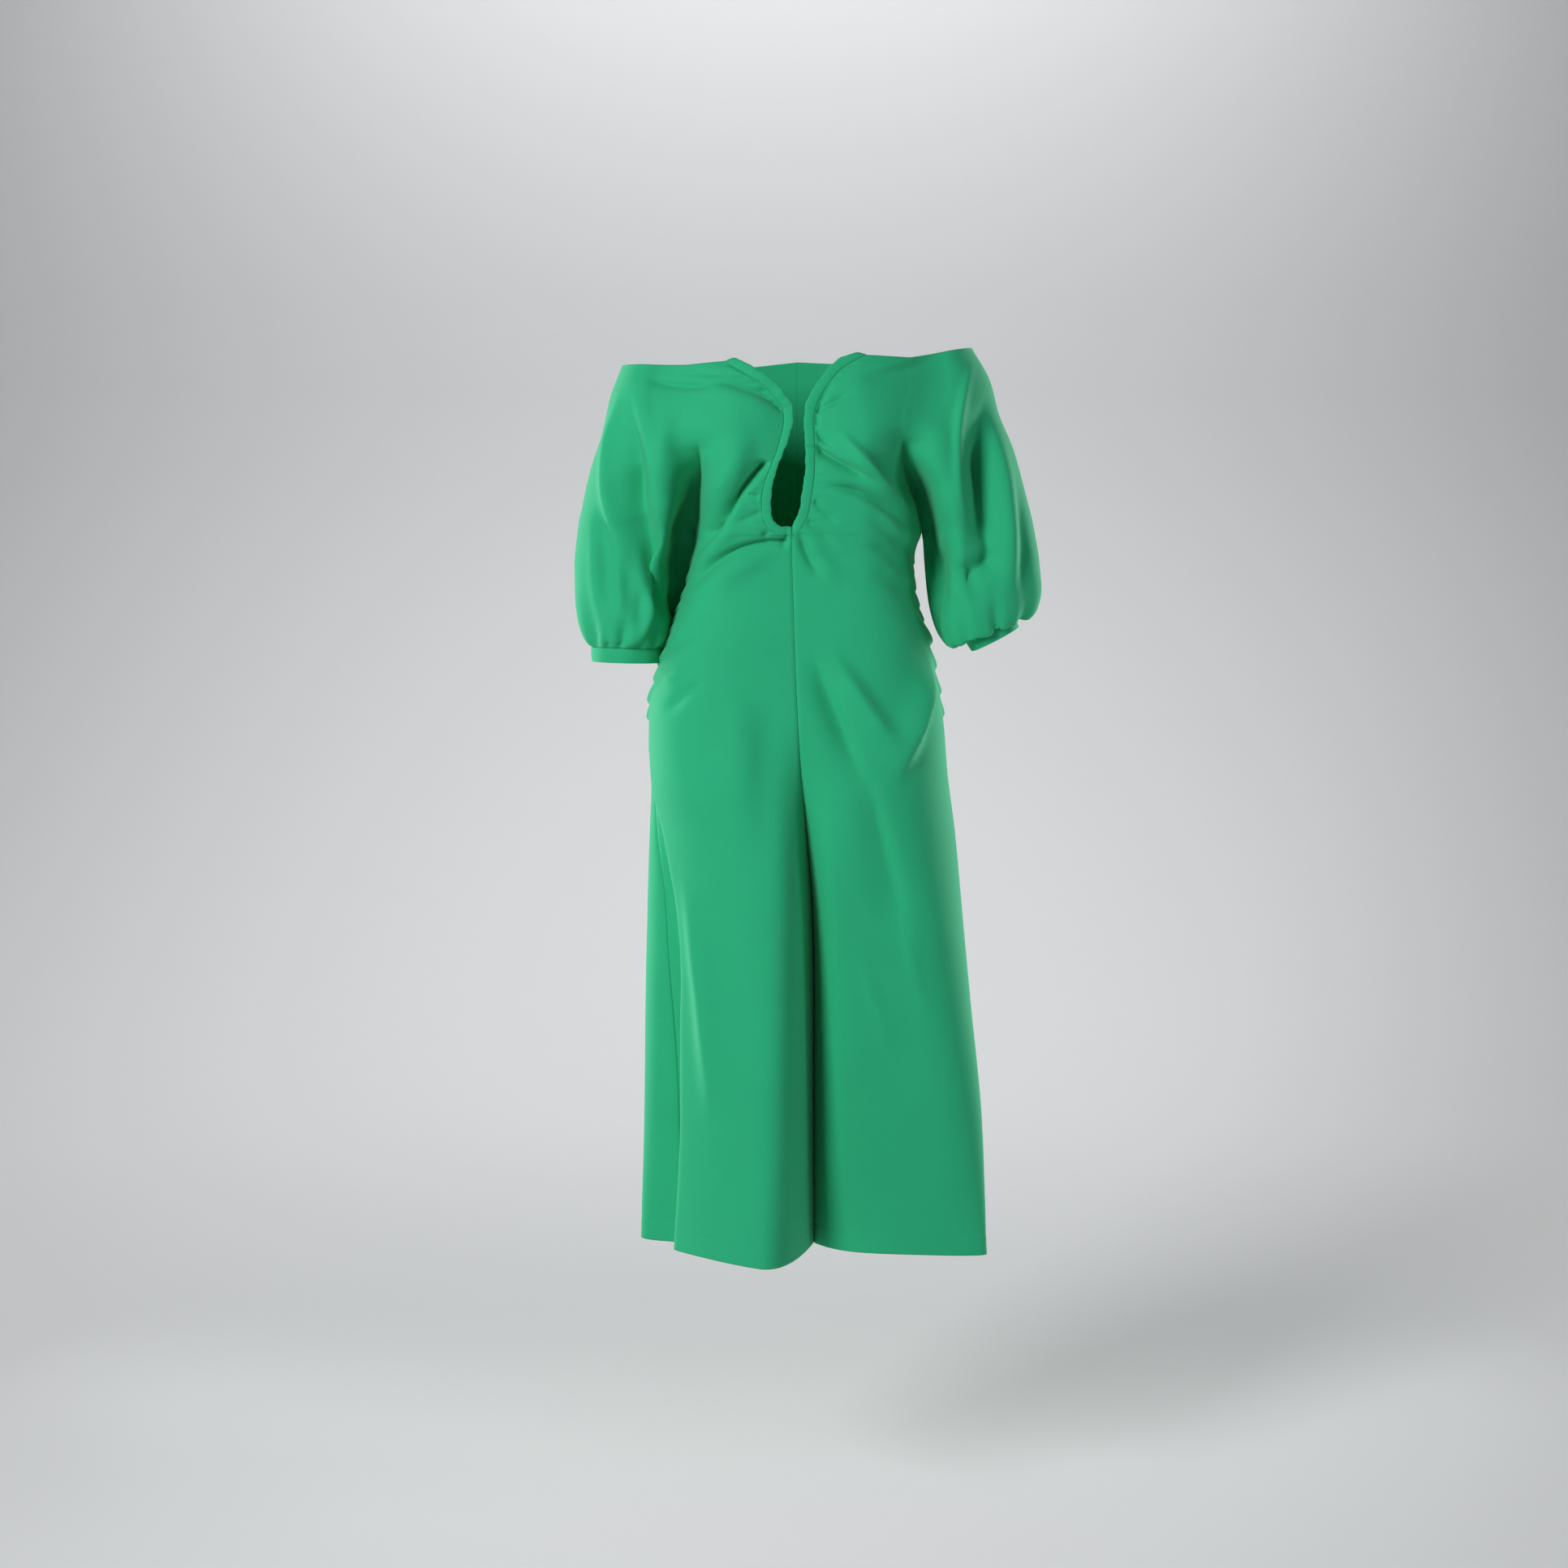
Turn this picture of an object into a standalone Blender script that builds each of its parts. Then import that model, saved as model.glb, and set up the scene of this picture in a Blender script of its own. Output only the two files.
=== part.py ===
"""Off-shoulder midi dress with sleeves cut in one with the body, as hollow cloth solids.

Frame: X towards the wearer's left, Y towards the back, Z up; the origin is where the upper arms
hold the neckline. The tables are in millimetres. A "level" is the height that a row of cloth has
on the centre line: 0 at the neckline, -205 where body and sleeve part, -1050 at the hem.
"""

import math
from collections import namedtuple

import bmesh
import bpy
import numpy as np

MM = 0.001
WALL = 1.5               # cloth, mm
SEAM_GAP = 0.3           # between two pieces that a seam joins
EDGE_BACK = 0.18         # that a panel's edge keeps from its seam line, on either side of it
NECK, UNDERARM, HEM = 0.0, -205.0, -1050.0
CASING_FOOT = -214.0     # level where the two casings meet above the centre seam
HIP = -440.0             # level where the side gathers end and the smooth skirt begins
CUFF_SEAM = -346.0       # sleeve level where the cuff is sewn on
CUFF_DEPTH = 17.5
CUFF_WALL = 2.4          # cloth folded double
CUFF_EDGE = 0.5          # rounding of its two folded edges
CUFF_DRAW_IN = 0.03      # of its girth, from seam to free edge
CASING_THICK = 3.0
CASING_SINK = 0.45       # that the casing's middle lies under the cloth's outer face
CASING_BACK = 1.0        # that its free edge stands forward of the seam
ARC_STEPS = 26           # points worked out along each quarter of a section
VALLEY_HALF_WIDTH = 4.0  # of the narrow valley where body and sleeve part
FULLNESS = 1.1           # cloth along a section against the straight line across it
NO_SEAM = 200.0          # distance given to sleeve points, which no gathered seam is near
CREPE_GREEN = (0.022, 0.37, 0.17)
CREPE_ROUGHNESS = 0.85

# Centre line of the front and back. crease_x, crease_y: the centre front seam, which sinks into a
# deep valley below the hips. crease_fall: how suddenly the cloth falls into it. lean: rise per mm
# towards the wearer's left.
Centre = namedtuple("Centre", "level crease_x crease_y crease_fall back_x back_y back_round lean")
CENTRE = [
    Centre(-1050, 19, 8, 1.5, 14, 100, 2.1, -0.026),
    Centre(-900, 19, 0, 1.5, 13, 105, 2.1, -0.021),
    Centre(-750, 19, -12, 1.6, 11, 110, 2.1, -0.016),
    Centre(-650, 17, -32, 1.7, 9, 113, 2.1, -0.014),
    Centre(-560, 10, -62, 1.8, 7, 117, 2.1, -0.010),
    Centre(-490, 4, -90, 2.0, 5, 120, 2.1, -0.006),
    Centre(-430, 0, -104, 2.0, 3, 120, 2.1, -0.003),
    Centre(-340, -4, -98, 2.0, 2, 108, 2.1, 0.0),
    Centre(-270, -6, -91, 2.0, 1, 91, 2.1, 0.0),
    Centre(-240, -7, -91, 2.0, 1, 86, 2.1, 0.0),
    Centre(-205, -7, -97, 2.0, 0, 86, 2.1, 0.0),
    Centre(-160, -7, -103, 1.8, 0, 90, 2.2, 0.020),
    Centre(-120, -5, -106, 1.7, 0, 94, 2.3, 0.035),
    Centre(-80, -2, -104, 1.7, 0, 95, 2.4, 0.045),
    Centre(-40, 0, -98, 1.7, 0, 92, 2.4, 0.055),
    Centre(0, 0, -90, 1.7, 0, 88, 2.4, 0.055),
]

# Half sections. bulge: the foremost point of that half. side: its outermost point, which above
# the underarm is where the body folds into the sleeve, at the depth that ARMS gives.
# front_round: 2 is an ellipse, 1 a flat. seam_ahead: how far the side seam lies in front of the
# outermost point.
Half = namedtuple("Half", "level bulge_x bulge_y side_x side_y front_round seam_ahead")
HALVES = {
    "right": [
        Half(-1050, -40, -110, -188, 10, 1.2, 50),
        Half(-900, -36, -113, -183, 11, 1.35, 50),
        Half(-750, -34, -115, -181, 11, 1.5, 46),
        Half(-650, -33, -115, -179, 14, 1.6, 38),
        Half(-560, -34, -114, -178, 12, 1.75, 16),
        Half(-490, -38, -111, -177, 10, 1.9, 4),
        Half(-430, -42, -107, -176, 8, 2.0, 0),
        Half(-340, -48, -99, -155, 6, 2.0, 0),
        Half(-270, -52, -92, -131, 8, 2.0, 0),
        Half(-240, -55, -92, -124, 10, 2.0, 0),
        Half(-205, -62, -100, -121, 14, 2.0, 0),
        Half(-160, -66, -113, -116, -42, 1.9, 0),
        Half(-120, -68, -122, -113, -68, 1.8, 0),
        Half(-80, -68, -121, -118, -92, 1.3, 0),
        Half(-40, -68, -113, -128, -92, 1.1, 0),
        Half(0, -66, -100, -128, -82, 1.1, 0),
    ],
    "left": [
        Half(-1050, 165, -33, 222, -22, 2.0, -40),
        Half(-900, 160, -52, 217, -16, 2.0, -34),
        Half(-750, 142, -73, 203, -9, 2.1, -26),
        Half(-650, 122, -88, 194, -3, 2.1, -16),
        Half(-560, 98, -101, 186, 3, 2.1, -6),
        Half(-490, 76, -108, 177, 4, 2.1, 0),
        Half(-430, 58, -107, 172, 5, 2.0, 0),
        Half(-340, 48, -99, 155, 6, 2.0, 0),
        Half(-270, 50, -92, 136, 8, 2.0, 0),
        Half(-240, 54, -92, 135, 10, 2.0, 0),
        Half(-205, 66, -101, 147, 12, 2.0, 0),
        Half(-160, 72, -114, 137, -38, 1.9, 0),
        Half(-120, 74, -123, 121, -70, 1.8, 0),
        Half(-80, 74, -122, 120, -92, 1.3, 0),
        Half(-40, 70, -114, 128, -94, 1.1, 0),
        Half(0, 66, -102, 128, -84, 1.1, 0),
    ],
}

# Sleeves, by level: in_x and out_x are the inner and outer outline seen from the front, in_drop and
# out_drop the height of each point against its level. The front hangs forward to a rounded edge at
# lobe_x, lobe_y; back_y is the depth of the back. fold_front_y and fold_back_y are where front and
# back fold from the body into the sleeve. They meet at the underarm, and go on as its seam.
Arm = namedtuple("Arm", "level in_x in_drop out_x out_drop out_y lobe_x lobe_y back_y"
                        " fold_front_y fold_back_y")
ARMS = {
    "right": [
        Arm(0, -128, -8, -208, 0, 0, -168, -60, 50, -82, 62),
        Arm(-40, -128, -5, -223, 0, 0, -172, -74, 62, -92, 66),
        Arm(-80, -118, 0, -231, 0, 2, -166, -84, 70, -92, 66),
        Arm(-120, -113, 0, -244, 0, 4, -154, -86, 75, -66, 60),
        Arm(-160, -116, 0, -253, 0, 6, -146, -78, 77, -38, 46),
        Arm(-177, -118, 0, -256, 0, 7, -148, -75, 77, -27, 41),
        Arm(-191, -120, 0, -259, 0, 8, -152, -72, 78, -13, 34),
        Arm(-205, -121, 0, -261, 0, 8, -157, -69, 78, 14, 14),
        Arm(-245, -130, 0, -265, 0, 9, -166, -61, 79, 14, 14),
        Arm(-285, -141, 0, -264, 0, 10, -168, -53, 76, 14, 14),
        Arm(-312, -151, -4, -260, -1, 10, -176, -47, 68, 12, 12),
        Arm(-330, -158, -5, -254, -1, 10, -188, -40, 59, 11, 11),
        Arm(-346, -162, 1, -245, 3, 10, -202, -30, 48, 10, 10),
    ],
    "left": [
        Arm(0, 128, -14, 206, -2, 0, 168, -62, 50, -84, 62),
        Arm(-40, 128, -9, 227, -1, 0, 174, -76, 60, -94, 66),
        Arm(-80, 120, -3, 238, 0, -2, 172, -86, 66, -92, 66),
        Arm(-120, 121, 0, 255, 0, -3, 163, -90, 70, -66, 60),
        Arm(-160, 137, 0, 267, 0, -4, 166, -86, 70, -36, 46),
        Arm(-177, 141, 0, 272, 0, -5, 170, -84, 70, -26, 41),
        Arm(-191, 144, 0, 276, 0, -6, 174, -82, 70, -13, 33),
        Arm(-205, 147, 0, 279, 0, -6, 180, -80, 69, 12, 12),
        Arm(-245, 149, 3, 285, 2, -8, 192, -75, 66, 6, 6),
        Arm(-285, 153, -2, 287, 12, -10, 197, -69, 60, 0, 0),
        Arm(-312, 162, -10, 282, 16, -12, 204, -64, 50, -6, -6),
        Arm(-330, 175, -12, 273, 23, -13, 212, -58, 36, -10, -10),
        Arm(-346, 196, 13, 253, 43, -14, 224, -48, 20, -13, -13),
    ],
}

# The gathered casing round the plunge and keyhole, seen from the front: the seam that joins it to
# the cloth, and its free edge.
Casing = namedtuple("Casing", "level seam_x seam_z edge_x edge_z")
CASINGS = {
    "right": [
        Casing(0, -84, -12, -73, -8),
        Casing(-10, -70, -22, -61, -13.5),
        Casing(-20, -55, -31, -47, -22.5),
        Casing(-35, -37, -43, -29, -34),
        Casing(-50, -25, -56, -16, -49),
        Casing(-65, -17, -68, -6.5, -64),
        Casing(-80, -16.5, -80, -5.3, -79),
        Casing(-95, -19, -95, -8.5, -93),
        Casing(-110, -23, -110, -13, -108),
        Casing(-135, -32, -135, -22.5, -131.5),
        Casing(-155, -39.5, -155, -28.7, -153),
        Casing(-172, -42, -172, -31, -171),
        Casing(-186, -41.5, -187, -31, -185),
        Casing(-197, -36, -202, -27, -196.5),
        Casing(-206, -22, -211, -18.5, -201.5),
        Casing(-214, -7, -213, -7, -202),
    ],
    "left": [
        Casing(0, 78, -5, 67, -2),
        Casing(-10, 61, -14, 53, -6.5),
        Casing(-20, 48, -23, 40, -14.5),
        Casing(-35, 36, -37, 27, -30),
        Casing(-50, 26, -51, 16, -46),
        Casing(-65, 19.5, -66, 8.5, -62),
        Casing(-80, 17.5, -81, 6.5, -80),
        Casing(-95, 18, -95, 7, -95),
        Casing(-110, 19, -110, 8, -110),
        Casing(-135, 19, -135, 8.2, -134),
        Casing(-155, 17, -155, 5.8, -153),
        Casing(-172, 14.5, -172, 3.3, -170),
        Casing(-186, 11.5, -188, 0.8, -185),
        Casing(-197, 6, -200, -3, -192.5),
        Casing(-206, -1, -208.5, -5.4, -197.5),
        Casing(-214, -7, -213, -7, -202),
    ],
}

# The large folds, on the front or back: a bent line from start by way to end, seen from the front.
# rise: out from the cloth, or in where it is negative.
Fold = namedtuple("Fold", "face start_x start_z way_x way_z end_x end_z width rise")
FOLDS = [
    Fold("front", -20, -74, -72, -40, -172, -30, 9, -6),      # wearer's right bust
    Fold("front", -40, -66, -88, -54, -150, -46, 9, -4),
    Fold("front", -34, -100, -73, -143, -104, -192, 14, 6),
    Fold("front", -36, -136, -82, -188, -120, -236, 9, -11),
    Fold("front", -14, -214, -88, -234, -127, -278, 9, -8),
    Fold("front", -44, -187, -77, -194, -97, -206, 8, -4),
    Fold("front", 24, -76, 44, -60, 90, -45, 9, -5),          # wearer's left bust
    Fold("front", 22, -108, 50, -118, 84, -134, 9, -6),
    Fold("front", 50, -96, 88, -134, 134, -190, 11, 7),
    Fold("front", 24, -155, 84, -164, 139, -206, 9, -9),
    Fold("front", 4, -203, 25, -238, 55, -268, 9, -6),
    Fold("front", 62, -207, 95, -226, 127, -252, 9, -5),
    Fold("front", 155, -396, 134, -463, 110, -507, 11, -9),   # drape below the left hip
    Fold("front", 138, -385, 116, -449, 94, -493, 15, 9),
    Fold("front", 48, -314, 81, -398, 104, -463, 18, 6),
    Fold("front", 22, -342, 58, -454, 92, -560, 17, -6),
    Fold("front", 55, -695, 80, -750, 106, -815, 16, 4),
    Fold("front", -130, -640, -118, -720, -96, -830, 16, 6),  # drape below the right hip
    Fold("front", -148, -560, -141, -760, -144, -1000, 9, -9),
    Fold("front", -165, -385, -168, -408, -176, -425, 8, -7),
    Fold("front", 201, -24, 172, -125, 196, -222, 14, 8),     # wearer's left sleeve
    Fold("front", 203, -85, 208, -185, 226, -240, 13, -16),
    Fold("front", 226, -232, 212, -258, 186, -258, 10, -9),
    Fold("front", 217, -80, 250, -168, 252, -275, 14, 6),
    Fold("front", -196, -85, -172, -190, -172, -285, 13, -14),  # wearer's right sleeve
    Fold("front", -206, -36, -202, -140, -214, -235, 15, 7),
    Fold("front", -228, -100, -242, -190, -230, -275, 13, -7),
    Fold("back", -30, -150, -80, -190, -122, -238, 13, -5),   # back, drawn to the side seams
    Fold("back", 30, -150, 80, -190, 128, -238, 13, -5),
    Fold("back", -30, -250, -85, -275, -132, -300, 12, -4),
    Fold("back", 30, -250, 85, -275, 138, -300, 12, -4),
    Fold("back", -40, -60, -110, -70, -190, -40, 14, -4),
    Fold("back", 40, -60, 110, -70, 190, -40, 14, -4),
    Fold("back", -80, -480, -92, -700, -108, -1020, 26, 6),
    Fold("back", 90, -480, 106, -700, 126, -1020, 26, 6),
    Fold("back", 8, -560, 8, -760, 8, -1050, 30, -8),
    Fold("back", 205, -60, 200, -150, 206, -260, 13, -9),     # sleeve backs
    Fold("back", 168, -90, 176, -170, 178, -260, 13, 5),
    Fold("back", -194, -60, -190, -150, -196, -260, 13, -9),
    Fold("back", -158, -90, -160, -170, -162, -260, 13, 5),
]

# A section of the casing: share of its width from seam to free edge, and height in thicknesses.
Oval = namedtuple("Oval", "share height")
CASING_OVAL = [
    Oval(0.0, 0.22), Oval(0.16, 0.44), Oval(0.5, 0.5), Oval(0.84, 0.42), Oval(1.0, 0.1),
    Oval(0.97, -0.24), Oval(0.72, -0.5), Oval(0.3, -0.5), Oval(0.0, -0.38),
]

# Rows of small gathers: how many, how far they stand out and how far they run into the cloth, mm.
Gathers = namedtuple("Gathers", "count rise reach")
SIDE_GATHERS = Gathers(10, 3.2, 30)
SIDE_GATHER_TOP, SIDE_GATHER_FOOT = -238.0, -432.0
CASING_GATHERS = Gathers(13, 2.2, 20)
CUFF_GATHERS = Gathers(9, 3.0, 42)      # on each half of a sleeve


def table_at(rows, levels):
    """The table's columns at these levels, by monotone cubics, so that no row overshoots."""
    rows = sorted(rows)
    known = np.array(rows, float)
    x, y = known[:, 0], known[:, 1:]
    step = np.diff(x)[:, None]
    slope = np.diff(y, axis=0) / step
    tangent = np.zeros_like(y)
    same_way = slope[:-1] * slope[1:] > 0
    near, far = 2 * step[1:] + step[:-1], step[1:] + 2 * step[:-1]
    safe = np.where(same_way, slope[:-1], 1), np.where(same_way, slope[1:], 1)
    tangent[1:-1] = np.where(same_way, (near + far) / (near / safe[0] + far / safe[1]), 0)
    tangent[0], tangent[-1] = slope[0], slope[-1]
    levels = np.clip(np.asarray(levels, float), x[0], x[-1])
    i = np.clip(np.searchsorted(x, levels) - 1, 0, len(x) - 2)
    h = step[i]
    t = ((levels - x[i]) / (x[i + 1] - x[i]))[:, None]
    value = ((1 + 2 * t) * (1 - t) ** 2 * y[i] + t * (1 - t) ** 2 * h * tangent[i]
             + t * t * (3 - 2 * t) * y[i + 1] + t * t * (t - 1) * h * tangent[i + 1])
    names = rows[0]._fields[1:]
    return namedtuple("Columns", names)(*value.T)


def arc(start, end, roundness, along_x_first):
    """A quarter of a superellipse from start to end, leaving start along X or along Y."""
    turn = np.linspace(0, math.pi / 2, ARC_STEPS)
    slow, fast = (1 - np.cos(turn) ** (2 / roundness)), np.sin(turn) ** (2 / roundness)
    over_x, over_y = (fast, slow) if along_x_first else (slow, fast)
    return np.column_stack([start[0] + (end[0] - start[0]) * over_x,
                            start[1] + (end[1] - start[1]) * over_y])


def crease_arc(crease, bulge, fall):
    """From the centre seam out to the bulge: steep at the seam, flat at the bulge."""
    share = np.linspace(0, 1, ARC_STEPS) ** 1.5
    return np.column_stack([crease[0] + (bulge[0] - crease[0]) * share,
                            bulge[1] + (crease[1] - bulge[1]) * (1 - share) ** fall])


def joined(*arcs):
    """One line from arcs that each start where the last one ended."""
    return np.vstack([arcs[0]] + [a[1:] for a in arcs[1:]])


def lengths_along(line):
    """The length run from the start to each point of the line."""
    return np.concatenate([[0], np.cumsum(np.hypot(*np.diff(line, axis=0).T))])


def along(line, lengths):
    """The points of the line at these lengths from its start."""
    run = lengths_along(line)
    return np.column_stack([np.interp(lengths, run, line[:, 0]),
                            np.interp(lengths, run, line[:, 1])])


def left_fall(side, centre_fall, level):
    """The left half falls into the crease close to it; the right half slopes all the way."""
    return centre_fall if side == "right" else centre_fall + 3.0 * smooth(-480, -640, level)


def smooth(start, end, value):
    """From 0 at start to 1 at end, flat at both."""
    t = np.clip((np.asarray(value, float) - start) / (end - start), 0, 1)
    return t * t * (3 - 2 * t)


def hollow_beside(distance, level):
    """How far body and sleeve draw back from the valley between them, this far from its line."""
    deep = smooth(-30, -110, level) * smooth(-204, -188, level)
    return VALLEY_HALF_WIDTH * deep * smooth(0, 9, distance) * np.exp(-(distance / 38) ** 2)


class Side:
    """One half of the dress, "left" or "right" as the wearer has it."""

    def __init__(self, side):
        self.side = side
        self.sign = 1 if side == "left" else -1

    def body_row(self, face, level, across):
        """Points of the body at this level; across runs from 0 at the centre to 1 at the side."""
        c = table_at(CENTRE, [level])
        h = table_at(HALVES[self.side], [level])
        a = table_at(ARMS[self.side], [level])
        crease, bulge = (c.crease_x[0], c.crease_y[0]), (h.bulge_x[0], h.bulge_y[0])
        side_y = a.fold_front_y[0] if level > UNDERARM else h.side_y[0]
        side, back = (h.side_x[0], side_y), (c.back_x[0], c.back_y[0])
        fall = float(left_fall(self.side, c.crease_fall[0], level))
        front_line = joined(crease_arc(crease, bulge, fall),
                            arc(bulge, side, h.front_round[0], True))
        front_run = lengths_along(front_line)
        cased = face == "front" and level > CASING_FOOT
        start = 0.0
        if cased:
            seam = table_at(CASINGS[self.side], [level])
            start = np.interp(seam.seam_x[0] * self.sign, front_line[:, 0] * self.sign, front_run)
        if level > UNDERARM:
            back_line = arc(back, (side[0], a.fold_back_y[0]), c.back_round[0], True)
            front_end, back_end = front_run[-1], lengths_along(back_line)[-1]
        else:
            ring = joined(front_line, arc(side, back, c.back_round[0], False))
            front_end = front_run[-1] - h.seam_ahead[0]
            back_end = lengths_along(ring)[-1] - front_end
            front_line, back_line = ring, ring[::-1]
        line, end = (front_line, front_end) if face == "front" else (back_line, back_end)
        across = np.asarray(across, float)
        points = along(line, start + across * (end - start))
        points[:, 0] -= self.sign * hollow_beside((1 - across) * (end - start), level)
        z = level + c.lean[0] * points[:, 0]
        if level > UNDERARM:
            z = z + a.in_drop[0] * across
        if cased:
            z = z + (seam.seam_z[0] - level - c.lean[0] * points[0, 0]) * (1 - across)
        return np.column_stack([points, z])

    def sleeve_row(self, face, level, around):
        """Points of the sleeve; around runs from 0 at the underarm to 1 at the outer arm."""
        a = table_at(ARMS[self.side], [level])
        h = table_at(HALVES[self.side], [level])
        c = table_at(CENTRE, [level])
        above = level > UNDERARM
        inner_x = h.side_x[0] if above else a.in_x[0]
        fold_y = a.fold_front_y[0] if face == "front" and above else a.fold_back_y[0]
        inner, outer = (inner_x, fold_y), (a.out_x[0], a.out_y[0])
        if face == "front":
            middle = (a.lobe_x[0], a.lobe_y[0])
            inner_round = 1.3 + 0.7 * float(smooth(-285, CUFF_SEAM, level))
        else:
            middle = (0.48 * inner[0] + 0.52 * outer[0], a.back_y[0])
            inner_round = 1.7
        line = joined(arc(inner, middle, inner_round, False), arc(middle, outer, 2.0, True))
        whole = lengths_along(line)[-1]
        points = along(line, np.asarray(around, float) * whole)
        points[:, 0] += self.sign * hollow_beside(np.asarray(around, float) * whole, level)
        share = (points[:, 0] - inner[0]) / (outer[0] - inner[0])
        lean = c.lean[0] if above else 0.0
        z = level + lean * points[:, 0] + a.in_drop[0] * (1 - share) + a.out_drop[0] * share
        return np.column_stack([points, z])


def fold_rise(face, points):
    """How far the folds move these points out of the cloth."""
    rise = np.zeros(len(points))
    seen = points[:, [0, 2]]
    for fold in FOLDS:
        if fold.face != face:
            continue
        start = np.array([fold.start_x, fold.start_z])
        way = np.array([fold.way_x, fold.way_z])
        end = np.array([fold.end_x, fold.end_z])
        near = np.full(len(points), np.inf)
        place = np.zeros(len(points))
        for t in np.linspace(0, 1, 25):
            on_fold = (1 - t) ** 2 * start + 2 * t * (1 - t) * way + t * t * end
            off = np.hypot(*(seen - on_fold).T)
            place = np.where(off < near, t, place)
            near = np.minimum(near, off)
        fade = smooth(0, 0.18, place) * smooth(1, 0.72, place)
        rise += fold.rise * fade * np.exp(-(near / fold.width) ** 2)
    return rise


def wave(phase, spread=0.35):
    """A row of gathers, uneven as hand-drawn ones are: narrow valleys and rounder ridges."""
    uneven = phase + spread * np.sin(0.37 * phase + 0.6)
    return np.cos(uneven) - 0.3 * np.cos(2 * uneven)


def uneven_height(phase):
    """How high each gather of a row is against the highest."""
    return 0.72 + 0.28 * np.sin(0.71 * phase + 1.1)


def side_gather_rise(level, distance):
    """The ruching of the side seam, this far from it."""
    inside = (smooth(SIDE_GATHER_TOP, SIDE_GATHER_TOP - 22, level)
              * smooth(SIDE_GATHER_FOOT, SIDE_GATHER_FOOT + 30, level))
    down = (SIDE_GATHER_TOP - level) / (SIDE_GATHER_TOP - SIDE_GATHER_FOOT)
    fade = np.exp(-(distance / SIDE_GATHERS.reach) ** 2)
    phase = 2 * math.pi * SIDE_GATHERS.count * down
    return SIDE_GATHERS.rise * inside * wave(phase, 0.8) * uneven_height(phase) * fade


def casing_gather_rise(level, distance):
    """The gathers that the casing draws into the front, this far from its seam."""
    inside = smooth(CASING_FOOT + 2, CASING_FOOT + 14, level) * smooth(NECK, NECK - 12, level)
    down = (NECK - level) / (NECK - CASING_FOOT)
    fade = smooth(0, 7, distance) * np.exp(-(distance / CASING_GATHERS.reach) ** 2)
    return CASING_GATHERS.rise * inside * wave(2 * math.pi * CASING_GATHERS.count * down) * fade


def cuff_gather_rise(level, around):
    """The gathers of a half sleeve above its cuff."""
    above_cuff = level - CUFF_SEAM
    held = 0.35 + 0.65 * smooth(0, 9, above_cuff)
    ends = smooth(0, 0.06, around) * smooth(1, 0.94, around)
    fade = np.exp(-(above_cuff / CUFF_GATHERS.reach) ** 2)
    return CUFF_GATHERS.rise * held * ends * wave(2 * math.pi * CUFF_GATHERS.count * around) * fade


# How finely the cloth is sampled. Columns of the body: place across, step of level above the
# underarm, through the side gathers, and below them.
Column = namedtuple("Column", "across bodice waist skirt")
FRONT_COLUMNS = [
    Column(0.0, 5.2, 24, 70),
    Column(0.06, 5.2, 24, 70),
    Column(0.14, 8, 24, 70),
    Column(0.24, 9, 24, 70),
    Column(0.34, 9, 24, 70),
    Column(0.44, 9, 24, 70),
    Column(0.54, 9, 24, 70),
    Column(0.64, 9, 24, 70),
    Column(0.74, 9, 16, 70),
    Column(0.83, 9, 10, 70),
    Column(0.91, 11, 5.6, 70),
    Column(0.97, 11, 5.6, 70),
    Column(1.0, 11, 5.6, 70),
]
BACK_COLUMNS = [
    Column(0.0, 34, 40, 100),
    Column(0.16, 34, 40, 100),
    Column(0.32, 34, 40, 100),
    Column(0.48, 34, 40, 100),
    Column(0.63, 24, 40, 100),
    Column(0.77, 17, 20, 100),
    Column(0.88, 11, 10, 100),
    Column(0.96, 11, 5.6, 100),
    Column(1.0, 11, 5.6, 70),
]
# Rows of the sleeve: where their points lie, from the underarm to the outer arm.
FEW_PLACES = (0, 0.03, 0.09, 0.18, 0.27, 0.37, 0.48, 0.6, 0.72, 0.86, 1)
SOME_PLACES = (0, 0.03, 0.09, 0.17, 0.26, 0.35, 0.44, 0.54, 0.63, 0.72, 0.81, 0.9, 1)
MANY_PLACES = tuple(np.linspace(0, 1, 27))
SleeveRow = namedtuple("SleeveRow", "level places")
SLEEVE_ROWS = [
    SleeveRow(-224, FEW_PLACES),
    SleeveRow(-245, FEW_PLACES),
    SleeveRow(-265, FEW_PLACES),
    SleeveRow(-285, SOME_PLACES),
    SleeveRow(-302, MANY_PLACES),
    SleeveRow(-318, MANY_PLACES),
    SleeveRow(-332, MANY_PLACES),
    SleeveRow(-340, MANY_PLACES),
    SleeveRow(CUFF_SEAM, MANY_PLACES),
]
CUFF_PLACES = 15   # points of a cuff on each half of its sleeve
CUFF_ROWS = (0.0, 0.12, 0.5, 0.88, 1.0)


def spaced(high, low, step):
    """Levels from high down to low, about a step apart."""
    return list(np.linspace(high, low, max(1, round((high - low) / step)) + 1))


def column_levels(column):
    """Levels of one column, neckline to hem. All columns share the rows that change the step."""
    return (spaced(NECK, UNDERARM, column.bodice)[:-1]
            + spaced(UNDERARM, CASING_FOOT, column.bodice)[:-1]
            + spaced(CASING_FOOT, HIP, column.waist)[:-1]
            + spaced(HIP, HEM, column.skirt))


def edge_levels():
    """The levels of the centre edge that has the casing on it."""
    return [level for level in column_levels(FRONT_COLUMNS[0]) if level >= CASING_FOOT]


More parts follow.
